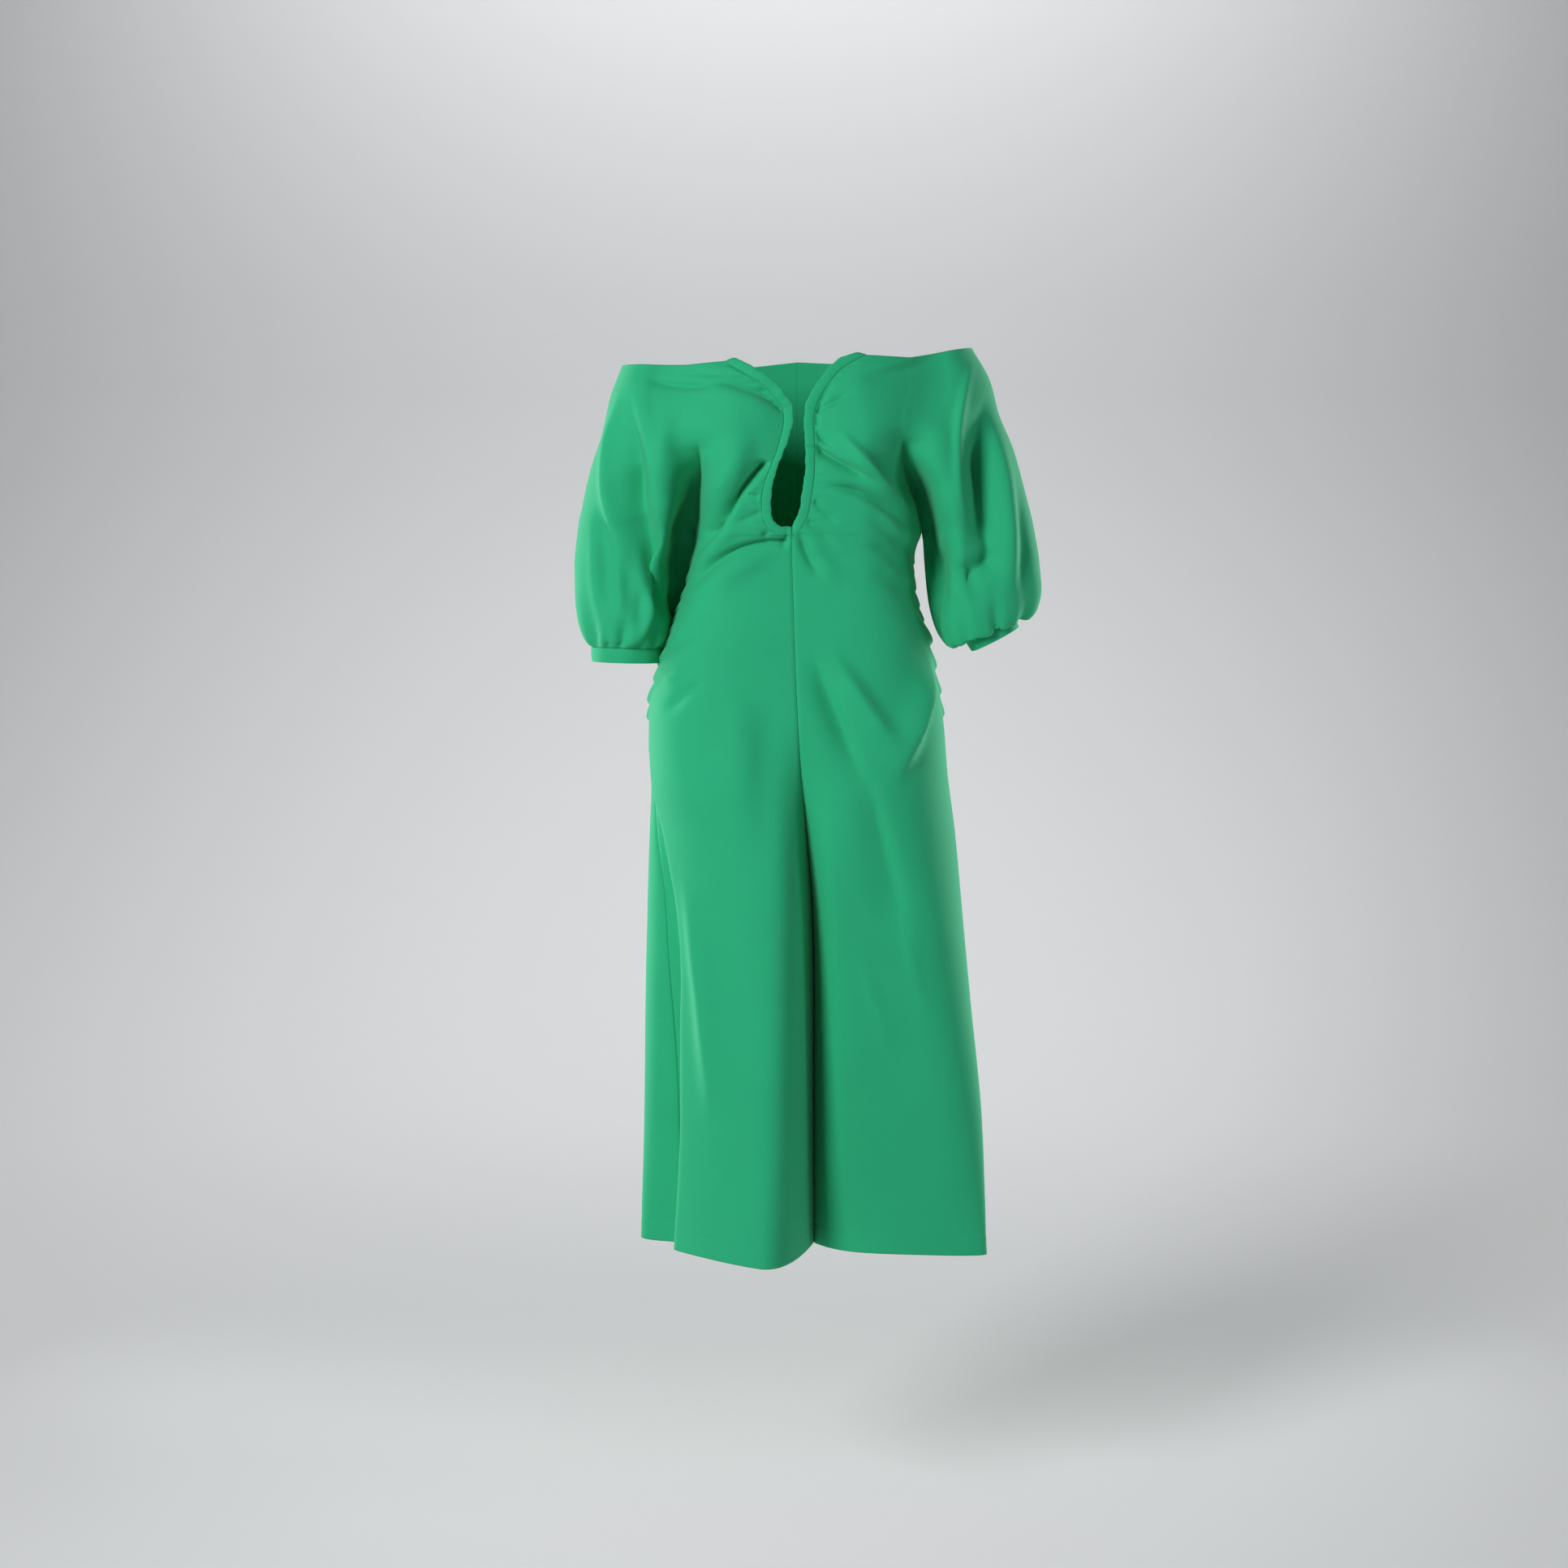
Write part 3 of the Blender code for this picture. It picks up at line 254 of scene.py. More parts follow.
# The folds, by the face or the part of a face that they move: a bent line from start by way to
# end, seen from the front. rise: out from the cloth, or in where it is negative. skew: how much
# wider the flank to the left of the line's run is than the right one. sharp: 0 for a soft wave, 1
# for a crease. held: 1 where a seam holds the start, so that the fold is deep from there on.
Fold = namedtuple("Fold", "start_x start_z way_x way_z end_x end_z width rise skew sharp held",
                  defaults=(0.0, 0.0, 0.0))
FOLDS = {
    "front": [
        # wearer's right bust
        Fold(-13, -73, -46, -38, -106, -36, 5, -6.5, -0.3, 0.9, 1),
        Fold(-83, -36, -134, -47, -184, -25, 5, -4.5, 0.2, 0.8),
        Fold(-45, -44, -71, -22, -145, -28, 4, -3, 0, 0.9),
        Fold(-21, -48, -55, -16, -131, -32, 8, 3.5),
        Fold(-18, -86, -55, -41, -134, -52, 13, 3.5),
        # wearer's left bust
        Fold(64, -34, 101, -32, 168, -7, 8, -2.5),
        Fold(76, -21, 107, -17, 156, -3, 6, 2),
    ],
    "front_body": [
        # wearer's right bust
        Fold(-28, -52, -33, -44, -48, -44, 3, -2.5, 0, 0.8, 1),
        Fold(-32, -127, -80, -177, -123, -245, 6, -14, -0.45, 0.8, 1),
        Fold(-79, -190, -94, -197, -113, -216, 4, 3),
        Fold(-52, -89, -76, -136, -111, -196, 16, 9),
        Fold(-68, -199, -94, -214, -123, -262, 11, 5.5),
        Fold(-44, -167, -59, -163, -74, -171, 4, -3.5, 0.3, 0.9, 1),
        Fold(-41, -187, -53, -189, -78, -202, 4, -3, 0, 0.9, 1),
        Fold(-12, -205, -13, -215, -20, -230, 3, -3.5, 0, 0.8, 1),
        Fold(-34, -205, -35, -212, -44, -213, 4, -3, 0, 0.7, 1),
        Fold(-9, -219, -91, -213, -136, -286, 5, -8, 0.3, 0.7, 1),
        Fold(-83, -196, -101, -205, -113, -212, 5, -5, 0, 0.6),
        Fold(-21, -237, -77, -240, -110, -285, 13, 4),
        # wearer's left bust
        Fold(20, -88, 14, -60, 42, -32, 4, -7, 0, 0.8, 1),
        Fold(19, -70, 30, -65, 68, -44, 4, -4, 0.2, 0.9, 1),
        Fold(17, -87, 18, -98, 42, -112, 4, -5, 0, 0.9, 1),
        Fold(18, -109, 36, -126, 103, -158, 5, -9, -0.3, 0.9, 1),
        Fold(42, -89, 87, -132, 135, -199, 10, 9, -0.3, 0.3),
        Fold(76, -98, 112, -139, 135, -181, 16, -5),
        Fold(23, -157, 80, -155, 140, -211, 6, -10, 0.35, 0.6),
        Fold(18, -171, 27, -188, 49, -198, 4, -3, 0, 0.6, 1),
        Fold(7, -193, 16, -202, 49, -228, 5, -3.5, 0, 0.6, 1),
        Fold(-1, -203, 6, -230, 30, -267, 6, -5, 0, 0.5),
        Fold(8, -208, 23, -237, 55, -273, 10, 3.5),
        Fold(130, -239, 116, -209, 73, -191, 8, -4),
        Fold(128, -225, 115, -202, 88, -188, 6, 3),
        Fold(132, -262, 107, -228, 76, -219, 8, -3.5),
        Fold(134, -292, 111, -259, 79, -246, 10, -3),
        # drape over the hips
        Fold(29, -333, 82, -413, 124, -477, 16, 10, -0.3, 0.2),
        Fold(10, -341, 48, -412, 81, -526, 13, -9, -0.4, 0.2),
        Fold(70, -461, 101, -565, 127, -712, 15, -7, -0.4),
        Fold(149, -344, 160, -421, 100, -505, 13, 13, -0.55, 0.2),
        Fold(-75, -376, -61, -446, -69, -554, 22, 4),
        Fold(-37, -390, -35, -494, -41, -641, 20, -4),
        Fold(-99, -376, -141, -391, -157, -424, 8, -5, 0, 0.4),
        Fold(-124, -355, -147, -379, -160, -382, 8, 3.5),
        Fold(-110, -322, -138, -326, -152, -352, 8, -3),
        # skirt
        Fold(-136, -592, -105, -746, -100, -900, 16, 9, 0.45, 0.2),
        Fold(69, -694, 78, -742, 121, -819, 9, 3, 0.3, 0.4),
        Fold(118, -630, 124, -698, 153, -784, 9, 3, 0.3, 0.4),
    ],
    "front_sleeve": [
        # wearer's right sleeve
        Fold(-203, -33, -243, -125, -210, -237, 7, 7, 0, 0.3),
        Fold(-198, -28, -185, -221, -140, -324, 18, -24, -0.4, 0.2),
        Fold(-189, -207, -184, -286, -146, -324, 9, 6, -0.3),
        Fold(-146, -34, -161, -155, -169, -246, 18, 9),
        Fold(-125, -160, -129, -209, -145, -312, 13, -13, -0.3),
        Fold(-231, -160, -230, -234, -216, -321, 11, -6),
        Fold(-239, -178, -239, -254, -233, -324, 8, 3),
        Fold(-213, -231, -208, -279, -200, -327, 7, 4),
        Fold(-185, -267, -183, -306, -188, -333, 8, -4),
        # wearer's left sleeve
        Fold(209, 4, 160, -97, 202, -222, 7, 8, 0.2, 0.3),
        Fold(217, -37, 216, -160, 232, -282, 18, -26, -0.4, 0.2),
        Fold(238, -225, 218, -255, 169, -267, 12, -10),
        Fold(224, -67, 248, -172, 248, -300, 12, 8),
        Fold(248, -136, 270, -227, 258, -300, 8, -5),
        Fold(145, -58, 172, -136, 187, -237, 20, 6),
        Fold(172, -237, 203, -266, 217, -300, 15, -6),
        Fold(157, -190, 147, -227, 164, -306, 6, -7, 0, 0.5),
        Fold(173, -213, 159, -248, 175, -312, 6, -7, 0, 0.4),
    ],
    "back": [
        # back, drawn to the side seams
        Fold(-30, -150, -80, -190, -122, -238, 13, -5),
        Fold(30, -150, 80, -190, 128, -238, 13, -5),
        Fold(-30, -250, -85, -275, -132, -300, 12, -4),
        Fold(30, -250, 85, -275, 138, -300, 12, -4),
        Fold(-40, -60, -110, -70, -190, -40, 14, -4),
        Fold(40, -60, 110, -70, 190, -40, 14, -4),
        Fold(-80, -480, -92, -700, -108, -1020, 26, 6),
        Fold(90, -480, 106, -700, 126, -1020, 26, 6),
        Fold(8, -560, 8, -760, 8, -1050, 30, -8),
        # sleeve backs
        Fold(205, -60, 200, -150, 206, -260, 13, -9),
        Fold(168, -90, 176, -170, 178, -260, 13, 5),
        Fold(-194, -60, -190, -150, -196, -260, 13, -9),
        Fold(-158, -90, -160, -170, -162, -260, 13, 5),
    ],
}
FOLD_STEPS = 16        # straight runs that a fold's bent line is worked out in
FOLD_REACH = 3.0       # widths from its line at which a fold has died away
CREASE_RADIUS = 2.0    # of the bottom of a sharp crease

# The gathers of the side seams: the level and height of each ridge at the seam, its width up the
# seam, and how far it reaches into the panel.
SideGather = namedtuple("SideGather", "level rise width reach")
SIDE_GATHERS = {
    "right": [
        SideGather(-250, 2.5, 7, 25), SideGather(-268, 3.0, 7, 30), SideGather(-288, 3.0, 8, 30),
        SideGather(-306, 3.5, 7, 28), SideGather(-320, 3.0, 6, 24), SideGather(-334, 3.5, 6, 22),
        SideGather(-347, 3.0, 6, 20), SideGather(-365, 4.0, 8, 30), SideGather(-384, 3.5, 8, 34),
        SideGather(-409, 4.5, 9, 40), SideGather(-429, 3.0, 7, 25),
    ],
    "left": [
        SideGather(-246, 3.0, 6, 30), SideGather(-259, 2.5, 6, 26), SideGather(-277, 3.5, 8, 40),
        SideGather(-297, 3.5, 8, 42), SideGather(-314, 3.0, 7, 34), SideGather(-339, 5.0, 9, 36),
        SideGather(-368, 3.5, 9, 30), SideGather(-398, 3.0, 9, 25), SideGather(-424, 2.5, 8, 22),
    ],
}
SIDE_GATHER_CLIMB = 0.6    # how steeply the ridges climb on their way in from the seam
CASING_GATHER_RISE, CASING_GATHER_REACH = 0.8, 14
CUFF_GATHER_RISE, CUFF_GATHER_REACH = 3.2, 17
CUFF_FLUTE_RISE, CUFF_FLUTE_REACH = 3.0, 60
SEAM_ROLL_REACH = 2.2    # that a seam draws the cloth down over, to either side
HEM_STITCH_DEPTH, HEM_STITCH_REACH = 0.35, 1.6
# The skirt falls in a deep valley by the wearer's right side seam: how far in front of the seam
# its bottom lies, and how deep it is. It is steep in front and wide behind.
SideValley = namedtuple("SideValley", "level ahead depth")
SIDE_VALLEY = [
    SideValley(-1050, 2, 24), SideValley(-930, 13, 27), SideValley(-810, 20, 28),
    SideValley(-680, 30, 27), SideValley(-572, 30, 20), SideValley(-500, 20, 6),
    SideValley(-465, 16, 0),
]
SIDE_VALLEY_FRONT, SIDE_VALLEY_BACK = 7.0, 34.0


def table_at(rows, levels):
    """The table's columns at these levels, by monotone cubics, so that no row overshoots."""
    rows = sorted(rows)
    known = np.array(rows, float)
    x, y = known[:, 0], known[:, 1:]
    step = np.diff(x)[:, None]
    slope = np.diff(y, axis=0) / step
    tangent = np.zeros_like(y)
    same_way = slope[:-1] * slope[1:] > 0
    near, far = 2 * step[1:] + step[:-1], step[1:] + 2 * step[:-1]
    safe = np.where(same_way, slope[:-1], 1), np.where(same_way, slope[1:], 1)
    tangent[1:-1] = np.where(same_way, (near + far) / (near / safe[0] + far / safe[1]), 0)
    tangent[0], tangent[-1] = slope[0], slope[-1]
    levels = np.clip(np.asarray(levels, float), x[0], x[-1])
    i = np.clip(np.searchsorted(x, levels) - 1, 0, len(x) - 2)
    h = step[i]
    t = ((levels - x[i]) / (x[i + 1] - x[i]))[:, None]
    value = ((1 + 2 * t) * (1 - t) ** 2 * y[i] + t * (1 - t) ** 2 * h * tangent[i]
             + t * t * (3 - 2 * t) * y[i + 1] + t * t * (t - 1) * h * tangent[i + 1])
    names = rows[0]._fields[1:]
    return namedtuple("Columns", names)(*value.T)


def row_at(rows, level):
    """The table's values at one level."""
    columns = table_at(rows, [level])
    return columns._make(float(column[0]) for column in columns)


def smooth(start, end, value):
    """From 0 at start to 1 at end, flat at both."""
    t = np.clip((np.asarray(value, float) - start) / (end - start), 0, 1)
    return t * t * (3 - 2 * t)


def arc(start, end, roundness, along_x_first, end_roundness=None):
    """A quarter of a superellipse from start to end, leaving start along X or along Y."""
    turn = np.linspace(0, math.pi / 2, ARC_STEPS)
    if end_roundness is not None:
        roundness = np.linspace(roundness, end_roundness, ARC_STEPS)
    slow, fast = (1 - np.cos(turn) ** (2 / roundness)), np.sin(turn) ** (2 / roundness)
    over_x, over_y = (fast, slow) if along_x_first else (slow, fast)
    return np.column_stack([start[0] + (end[0] - start[0]) * over_x,
                            start[1] + (end[1] - start[1]) * over_y])


def crease_arc(crease, bulge, fall):
    """From the centre seam out to the bulge: steep at the seam, flat at the bulge."""
    share = np.linspace(0, 1, ARC_STEPS) ** 1.5
    return np.column_stack([crease[0] + (bulge[0] - crease[0]) * share,
                            bulge[1] + (crease[1] - bulge[1]) * (1 - share) ** fall])


def joined(*arcs):
    """One line from arcs that each start where the last one ended."""
    return np.vstack([arcs[0]] + [a[1:] for a in arcs[1:]])


def lengths_along(line):
    """The length run from the start to each point of the line."""
    return np.concatenate([[0], np.cumsum(np.hypot(*np.diff(line, axis=0).T))])


def along(line, lengths):
    """The points of the line at these lengths from its start."""
    run = lengths_along(line)
    return np.column_stack([np.interp(lengths, run, line[:, 0]),
                            np.interp(lengths, run, line[:, 1])])


def half_fall(side, centre_fall, level):
    """How suddenly this half falls into the crease: the right half slopes all the way to it.

    The left half falls close to it, and opens again towards the hem."""
    if side == "right":
        return centre_fall
    return centre_fall + 7.0 * smooth(-480, -640, level) - 4.0 * smooth(-930, HEM, level)


def hollow_beside(most, last, distance, level):
    """How far body or sleeve draws back from the valley between them, this far from its line.

    It does so down to the last level."""
    deep = smooth(VALLEY_START, VALLEY_WHOLE, level) * smooth(last, last + 5 * most, level)
    near = smooth(0, 5 + most, distance) * np.exp(-(distance / VALLEY_REACH) ** 2)
    return most * deep * near


def body_front(side, level):
    """The front of the body's section at this level, from the centre seam to the side."""
    c = row_at(CENTRE, level)
    h = row_at(HALVES[side], level)
    s = row_at(SLEEVES[side], level)
    crease, bulge = (c.crease_x, c.crease_y), (h.bulge_x, h.bulge_y)
    outer = (h.side_x, s.fold_front_y if level > UNDERARM else h.side_y)
    fall = float(half_fall(side, c.crease_fall, level))
    roundness = h.front_round
    at_fold = roundness + (1 - roundness) * float(smooth(-125, -97, level))
    return joined(crease_arc(crease, bulge, fall), arc(bulge, outer, roundness, True, at_fold))


def sleeve_section(side, face, level):
    """The sleeve's section at this level, from the underarm to the overarm seam."""
    s = row_at(SLEEVES[side], level)
    h = row_at(HALVES[side], level)
    above = level > UNDERARM
    inner_x = h.side_x if above else s.in_x
    fold_y = s.fold_front_y if face == "front" and above else s.fold_back_y
    inner, outer = (inner_x, fold_y), (s.out_x, s.out_y)
    if face == "front":
        # tight at the fold, then hollow down the valley, and round again towards the cuff
        middle = (s.lobe_x, s.lobe_y)
        inner_round = float(1 + 0.3 * smooth(-97, -115, level) - 0.5 * smooth(-118, -180, level)
                            + 0.5 * smooth(-230, -290, level)
                            + 0.7 * smooth(-285, CUFF_SEAM, level))
        lobe_round = max(1.7, inner_round)
    else:
        middle = (0.48 * inner[0] + 0.52 * outer[0], s.back_y)
        inner_round = lobe_round = 1.7
    return joined(arc(inner, middle, inner_round, False, lobe_round),
                  arc(middle, outer, 2.0, True))


@functools.lru_cache(maxsize=None)
def parting_turn(side, level):
    """How much the front's slope changes where body and sleeve part, above the valley there."""
    (body_x, body_y), (sleeve_x, sleeve_y) = (
        np.diff(line[[0, 4]], axis=0)[0]
        for line in (body_front(side, level)[-5:], sleeve_section(side, "front", level)[:5]))
    turn = sleeve_y / abs(sleeve_x) - body_y / abs(body_x)
    return turn * smooth(PARTING_START, PARTING_WHOLE, level)


def eased(side, level, distance):
    """How far the cloth lies back near that line, so that it crosses it without a crease."""
    if level < PARTING_START:
        return 0.0
    return 0.5 * PARTING_EASE * parting_turn(side, level) * np.exp(-distance / PARTING_EASE)


def body_row(side, face, level, across):
    """Points of the body at this level, from the centre (0) to the side (1), and their length."""
    sign = 1 if side == "left" else -1
    c = row_at(CENTRE, level)
    h = row_at(HALVES[side], level)
    s = row_at(SLEEVES[side], level)
    back = (c.back_x, c.back_y)
    front_line = body_front(side, level)
    outer = tuple(front_line[-1])
    front_run = lengths_along(front_line)
    cased = face == "front" and level > CASING_FOOT
    start = 0.0
    if cased:
        seam = row_at(CASINGS[side], level)
        start = np.interp(seam.seam_x * sign, front_line[:, 0] * sign, front_run)
    if level > UNDERARM:
        back_line = arc(back, (outer[0], s.fold_back_y), c.back_round, True)
        front_end, back_end = front_run[-1], lengths_along(back_line)[-1]
    else:
        ring = joined(front_line, arc(outer, back, c.back_round, False))
        front_end = front_run[-1] - h.seam_ahead
        back_end = lengths_along(ring)[-1] - front_end
        front_line, back_line = ring, ring[::-1]
    line, end = (front_line, front_end) if face == "front" else (back_line, back_end)
    points = along(line, start + across * (end - start))
    from_side = (1 - across) * (end - start)
    points[:, 0] -= sign * hollow_beside(BODY_DRAWS_BACK, UNDERARM, from_side, level)
    if face == "front":
        points[:, 1] += eased(side, level, from_side)
    z = level + c.lean * points[:, 0]
    if level > UNDERARM:
        z = z + s.in_drop * across
    if cased:
        z = z + (seam.seam_z - level - c.lean * points[0, 0]) * (1 - across)
    return np.column_stack([points, z]), end - start


def sleeve_row(side, face, level, around):
    """Points of the sleeve from the underarm (0) to the overarm (1), and their length."""
    sign = 1 if side == "left" else -1
    s = row_at(SLEEVES[side], level)
    c = row_at(CENTRE, level)
    line = sleeve_section(side, face, level)
    inner, outer = line[0], line[-1]
    whole = lengths_along(line)[-1]
    points = along(line, around * whole)
    from_inner = around * whole
    points[:, 0] += sign * hollow_beside(SLEEVE_DRAWS_BACK, SLEEVE_VALLEY_END, from_inner, level)
    share = (points[:, 0] - inner[0]) / (outer[0] - inner[0])
    if face == "front":
        points[:, 1] += eased(side, level, from_inner)
    lean = c.lean if level > UNDERARM else 0.0
    z = level + lean * points[:, 0] + s.in_drop * (1 - share) + s.out_drop * share
    return np.column_stack([points, z]), whole


# ---------------------------------------------------------------- how the cloth moves

def fold_line(fold):
    """The fold's bent line as points, seen from the front."""
    t = np.linspace(0, 1, FOLD_STEPS + 1)[:, None]
    start, way, end = np.array(fold[:6], float).reshape(3, 2)
    return (1 - t) ** 2 * start + 2 * t * (1 - t) * way + t * t * end


def one_fold_rise(fold, seen):
    """How far one fold moves these points, given as they are seen from the front."""
    line = fold_line(fold)
    begin, run = line[:-1], np.diff(line, axis=0)
    off = seen[:, None] - begin
    t = np.clip((off * run).sum(-1) / (run * run).sum(-1), 0, 1)
    gap = off - t[..., None] * run
    distance = np.hypot(gap[..., 0], gap[..., 1])
    nearest = distance.argmin(axis=1)
    pick = np.arange(len(seen)), nearest
    distance, off, run = distance[pick], off[pick], run[nearest]
    place = (nearest + t[pick]) / FOLD_STEPS
    left = np.sign(run[:, 0] * off[:, 1] - run[:, 1] * off[:, 0])
    far = distance / (fold.width * (0.75 + 0.5 * place) * (1 + fold.skew * left))
    soft = np.exp(-far ** 2)
    rounded = CREASE_RADIUS / fold.width
    crease = np.exp(-1.6 * (np.sqrt(far ** 2 + rounded ** 2) - rounded))
    fade = smooth(0, 0.4 - 0.34 * fold.held, place) * smooth(1, 0.6, place)
    return fold.rise * fade * (soft + fold.sharp * (crease * smooth(FOLD_REACH, 2, far) - soft))


def fold_rise(face, part, points):
    """How far all folds together move the points of this part, body or sleeve, of a face."""
    rise = np.zeros(len(points))
    seen = points[:, [0, 2]]
    for fold in FOLDS[face] + FOLDS.get(f"{face}_{part}", []):
        line = fold_line(fold)
        margin = 1.25 * FOLD_REACH * fold.width * (1 + abs(fold.skew))
        near = np.all((seen > line.min(0) - margin) & (seen < line.max(0) + margin), axis=1)
        if near.any():
            rise[near] += one_fold_rise(fold, seen[near])
    return rise


def wave(phase, spread=0.35):
    """A row of gathers, uneven as hand-drawn ones are: narrow valleys and rounder ridges."""
    uneven = phase + spread * np.sin(0.37 * phase + 0.6)
    return np.cos(uneven) - 0.3 * np.cos(2 * uneven)


def uneven_height(phase):
    """How high each gather of a row is against the highest."""
    return 0.72 + 0.28 * np.sin(0.71 * phase + 1.1)


def side_gather_rise(side, level, distance):
    """The ruching of the side seam, this far from it: ridges that fall away steeply below."""
    rise = np.zeros(len(level))
    for ridge in SIDE_GATHERS[side]:
        above = level - SIDE_GATHER_CLIMB * distance - ridge.level
        width = ridge.width * np.where(above > 0, 1.3, 0.42)
        rise += 1.25 * ridge.rise * np.exp(-(above / width) ** 2 - (distance / ridge.reach) ** 2)
    return rise


def side_valley_depth(level, ahead):
    """How deep the valley by the right side seam is, this far in front of the seam."""
    valley = table_at(SIDE_VALLEY, level)
    off = ahead - valley.ahead
    reach = np.where(off > 0, SIDE_VALLEY_FRONT, SIDE_VALLEY_BACK)
    return np.where(level < SIDE_VALLEY[-1].level, valley.depth * np.exp(-(off / reach) ** 2), 0)


def casing_gather_rise(count, level, distance):
    """The gathers that the casing draws into the front, this far from its seam."""
    inside = smooth(CASING_FOOT + 2, CASING_FOOT + 14, level) * smooth(NECK, NECK - 12, level)
    phase = 2 * math.pi * count * (NECK - level) / (NECK - CASING_FOOT)
    fade = (0.4 + 0.6 * smooth(0, 5, distance)) * np.exp(-(distance / CASING_GATHER_REACH) ** 2)
    return CASING_GATHER_RISE * inside * wave(phase, 0.8) * uneven_height(phase) * fade


def cuff_gather_rise(count, level, around):
    """The gathers of a half sleeve above its cuff, and the wide flutes that they run out into."""
    up = level - CUFF_SEAM
    phase = 2 * math.pi * count * around
    gathers = wave(phase, 0.8) * uneven_height(phase) * np.exp(-(up / CUFF_GATHER_REACH) ** 2)
    flutes = wave(phase / 2 + 1.3, 0.8) * smooth(0, 22, up) * np.exp(-(up / CUFF_FLUTE_REACH) ** 2)
    held = (0.25 + 0.75 * smooth(0, 6, up)) * smooth(0, 0.06, around) * smooth(1, 0.94, around)
    return held * (CUFF_GATHER_RISE * gathers + CUFF_FLUTE_RISE * flutes)


def seam_roll(distance):
    """The share of a seam's depth that the cloth has this far from it."""
    return np.exp(-(distance / SEAM_ROLL_REACH) ** 2)


# ---------------------------------------------------------------- one panel as points

def spaced(high, low, step):
    """Levels from high down to low, about a step apart."""
    return list(np.linspace(high, low, max(1, round((high - low) / step)) + 1))


def edge_dense(count, crowd):
    """Places from 0 to 1, closer together at both ends than in the middle."""
    t = np.linspace(0, 1, count)
    return t - crowd * np.sin(2 * math.pi * t) / (2 * math.pi)


def fineness():
    """How far apart rows and columns lie against the finished mesh."""
    return 1.0


def row_levels(fine):
    """Levels of the body's rows, of those that the sleeve shares, and of the sleeve's own."""
    bodice = spaced(NECK, UNDERARM, 1.8 * fine)
    foot = spaced(UNDERARM, CASING_FOOT, 1.5 * fine)[1:]
    waist = spaced(CASING_FOOT, HIP, 1.7 * fine)[1:]
    skirt = spaced(HIP, -1019.0, 8.5 * fine)[1:]
    hem = spaced(-1019.0, HEM, 1.9 * fine)[1:]
    sleeve = spaced(UNDERARM, CUFF_SEAM, 2.2 * fine)[1:]
    return bodice + foot + waist + skirt + hem, bodice, sleeve


Part = namedtuple("Part", "points level length place")


def part_points(row, side, face, levels, places):
    """All rows of a body or sleeve half: points, level, row length and place of each."""
    made = [row(side, face, level, places) for level in levels]
    count = len(places)
    return Part(
        np.vstack([points for points, _ in made]),
        np.repeat(levels, count),
        np.repeat([length for _, length in made], count),
        np.tile(places, len(levels)),
    )


def body_rise(sizes, side, face, part):
    """How far the body's points move out of the plain cloth."""
    from_side, from_centre = (1 - part.place) * part.length, part.place * part.length
    rise = sizes.fold_depth * fold_rise(face, "body", part.points)
    below = part.level < UNDERARM
    ruched = below & (part.level > HIP - 20)
    rise += np.where(ruched, side_gather_rise(side, part.level, from_side), 0) * sizes.gather_depth
    if side == "right":
        rise -= side_valley_depth(part.level, from_side if face == "front" else -from_side)
    if face == "front":
        cased = part.level > CASING_FOOT - 6
        rise += casing_gather_rise(sizes.casing_gathers, part.level, from_centre)
        rise *= np.where(cased, 0.4 + 0.6 * smooth(0, 6, from_centre), 1)
    depth = sizes.seam_depth / MM
    rise -= depth * np.where(below, seam_roll(from_side), 0)
    rise -= depth * np.where(part.level < CASING_FOOT, seam_roll(from_centre), 0)
    hem_line = HEM + sizes.hem_depth / MM
    rise -= HEM_STITCH_DEPTH * np.exp(-((part.level - hem_line) / HEM_STITCH_REACH) ** 2)
    return rise


def sleeve_rise(sizes, face, part):
    """How far the sleeve's points move out of the plain cloth."""
    rise = sizes.fold_depth * fold_rise(face, "sleeve", part.points)
    rise *= np.maximum(smooth(CUFF_SEAM, CUFF_SEAM + 12, part.level), 0.3)
    rise += cuff_gather_rise(sizes.cuff_gathers, part.level, part.place)
    depth = sizes.seam_depth / MM
    rise -= depth * np.where(part.level < UNDERARM, seam_roll(part.place * part.length), 0)
    rise -= depth * seam_roll((1 - part.place) * part.length)
    return rise


def grid_of_points(shape, points, rows, columns):
    """A grid in the bmesh, its vertices moved to the points, row by row."""
    made = bmesh.ops.create_grid(shape, x_segments=columns - 1, y_segments=rows - 1,
                                 size=0.5, calc_uvs=False)["verts"]
    made = sorted(made, key=lambda v: (round(v.co.y, 7), round(v.co.x, 7)))
    for vertex, point in zip(made, points * MM):
        vertex.co = point
    return made


def turned_outwards(shape):
    """All faces wound alike, and away from the dress's middle."""
    bmesh.ops.recalc_face_normals(shape, faces=shape.faces)
    facing = sum(f.normal.y * f.calc_center_median().y * f.calc_area() for f in shape.faces)
    if facing < 0:
        bmesh.ops.reverse_faces(shape, faces=shape.faces)
    shape.normal_update()


def seam_key(point):
    return tuple(round(v, 5) for v in point)


PANELS = [(face, side) for face in ("front", "back") for side in ("left", "right")]
SLEEVE_LAID_AT = 300     # mm that a sleeve's flat cut lies to the side of the body's
CROTCH_STILL, CROTCH_FREE = 3, 26   # mm from a crotch where folds begin to move, and move fully


def crotches():
    """Where side seam and underarm seam meet, left and right, in metres."""
    return [body_row(side, "front", UNDERARM, np.array([1.0]))[0][0] * MM
            for side in ("left", "right")]


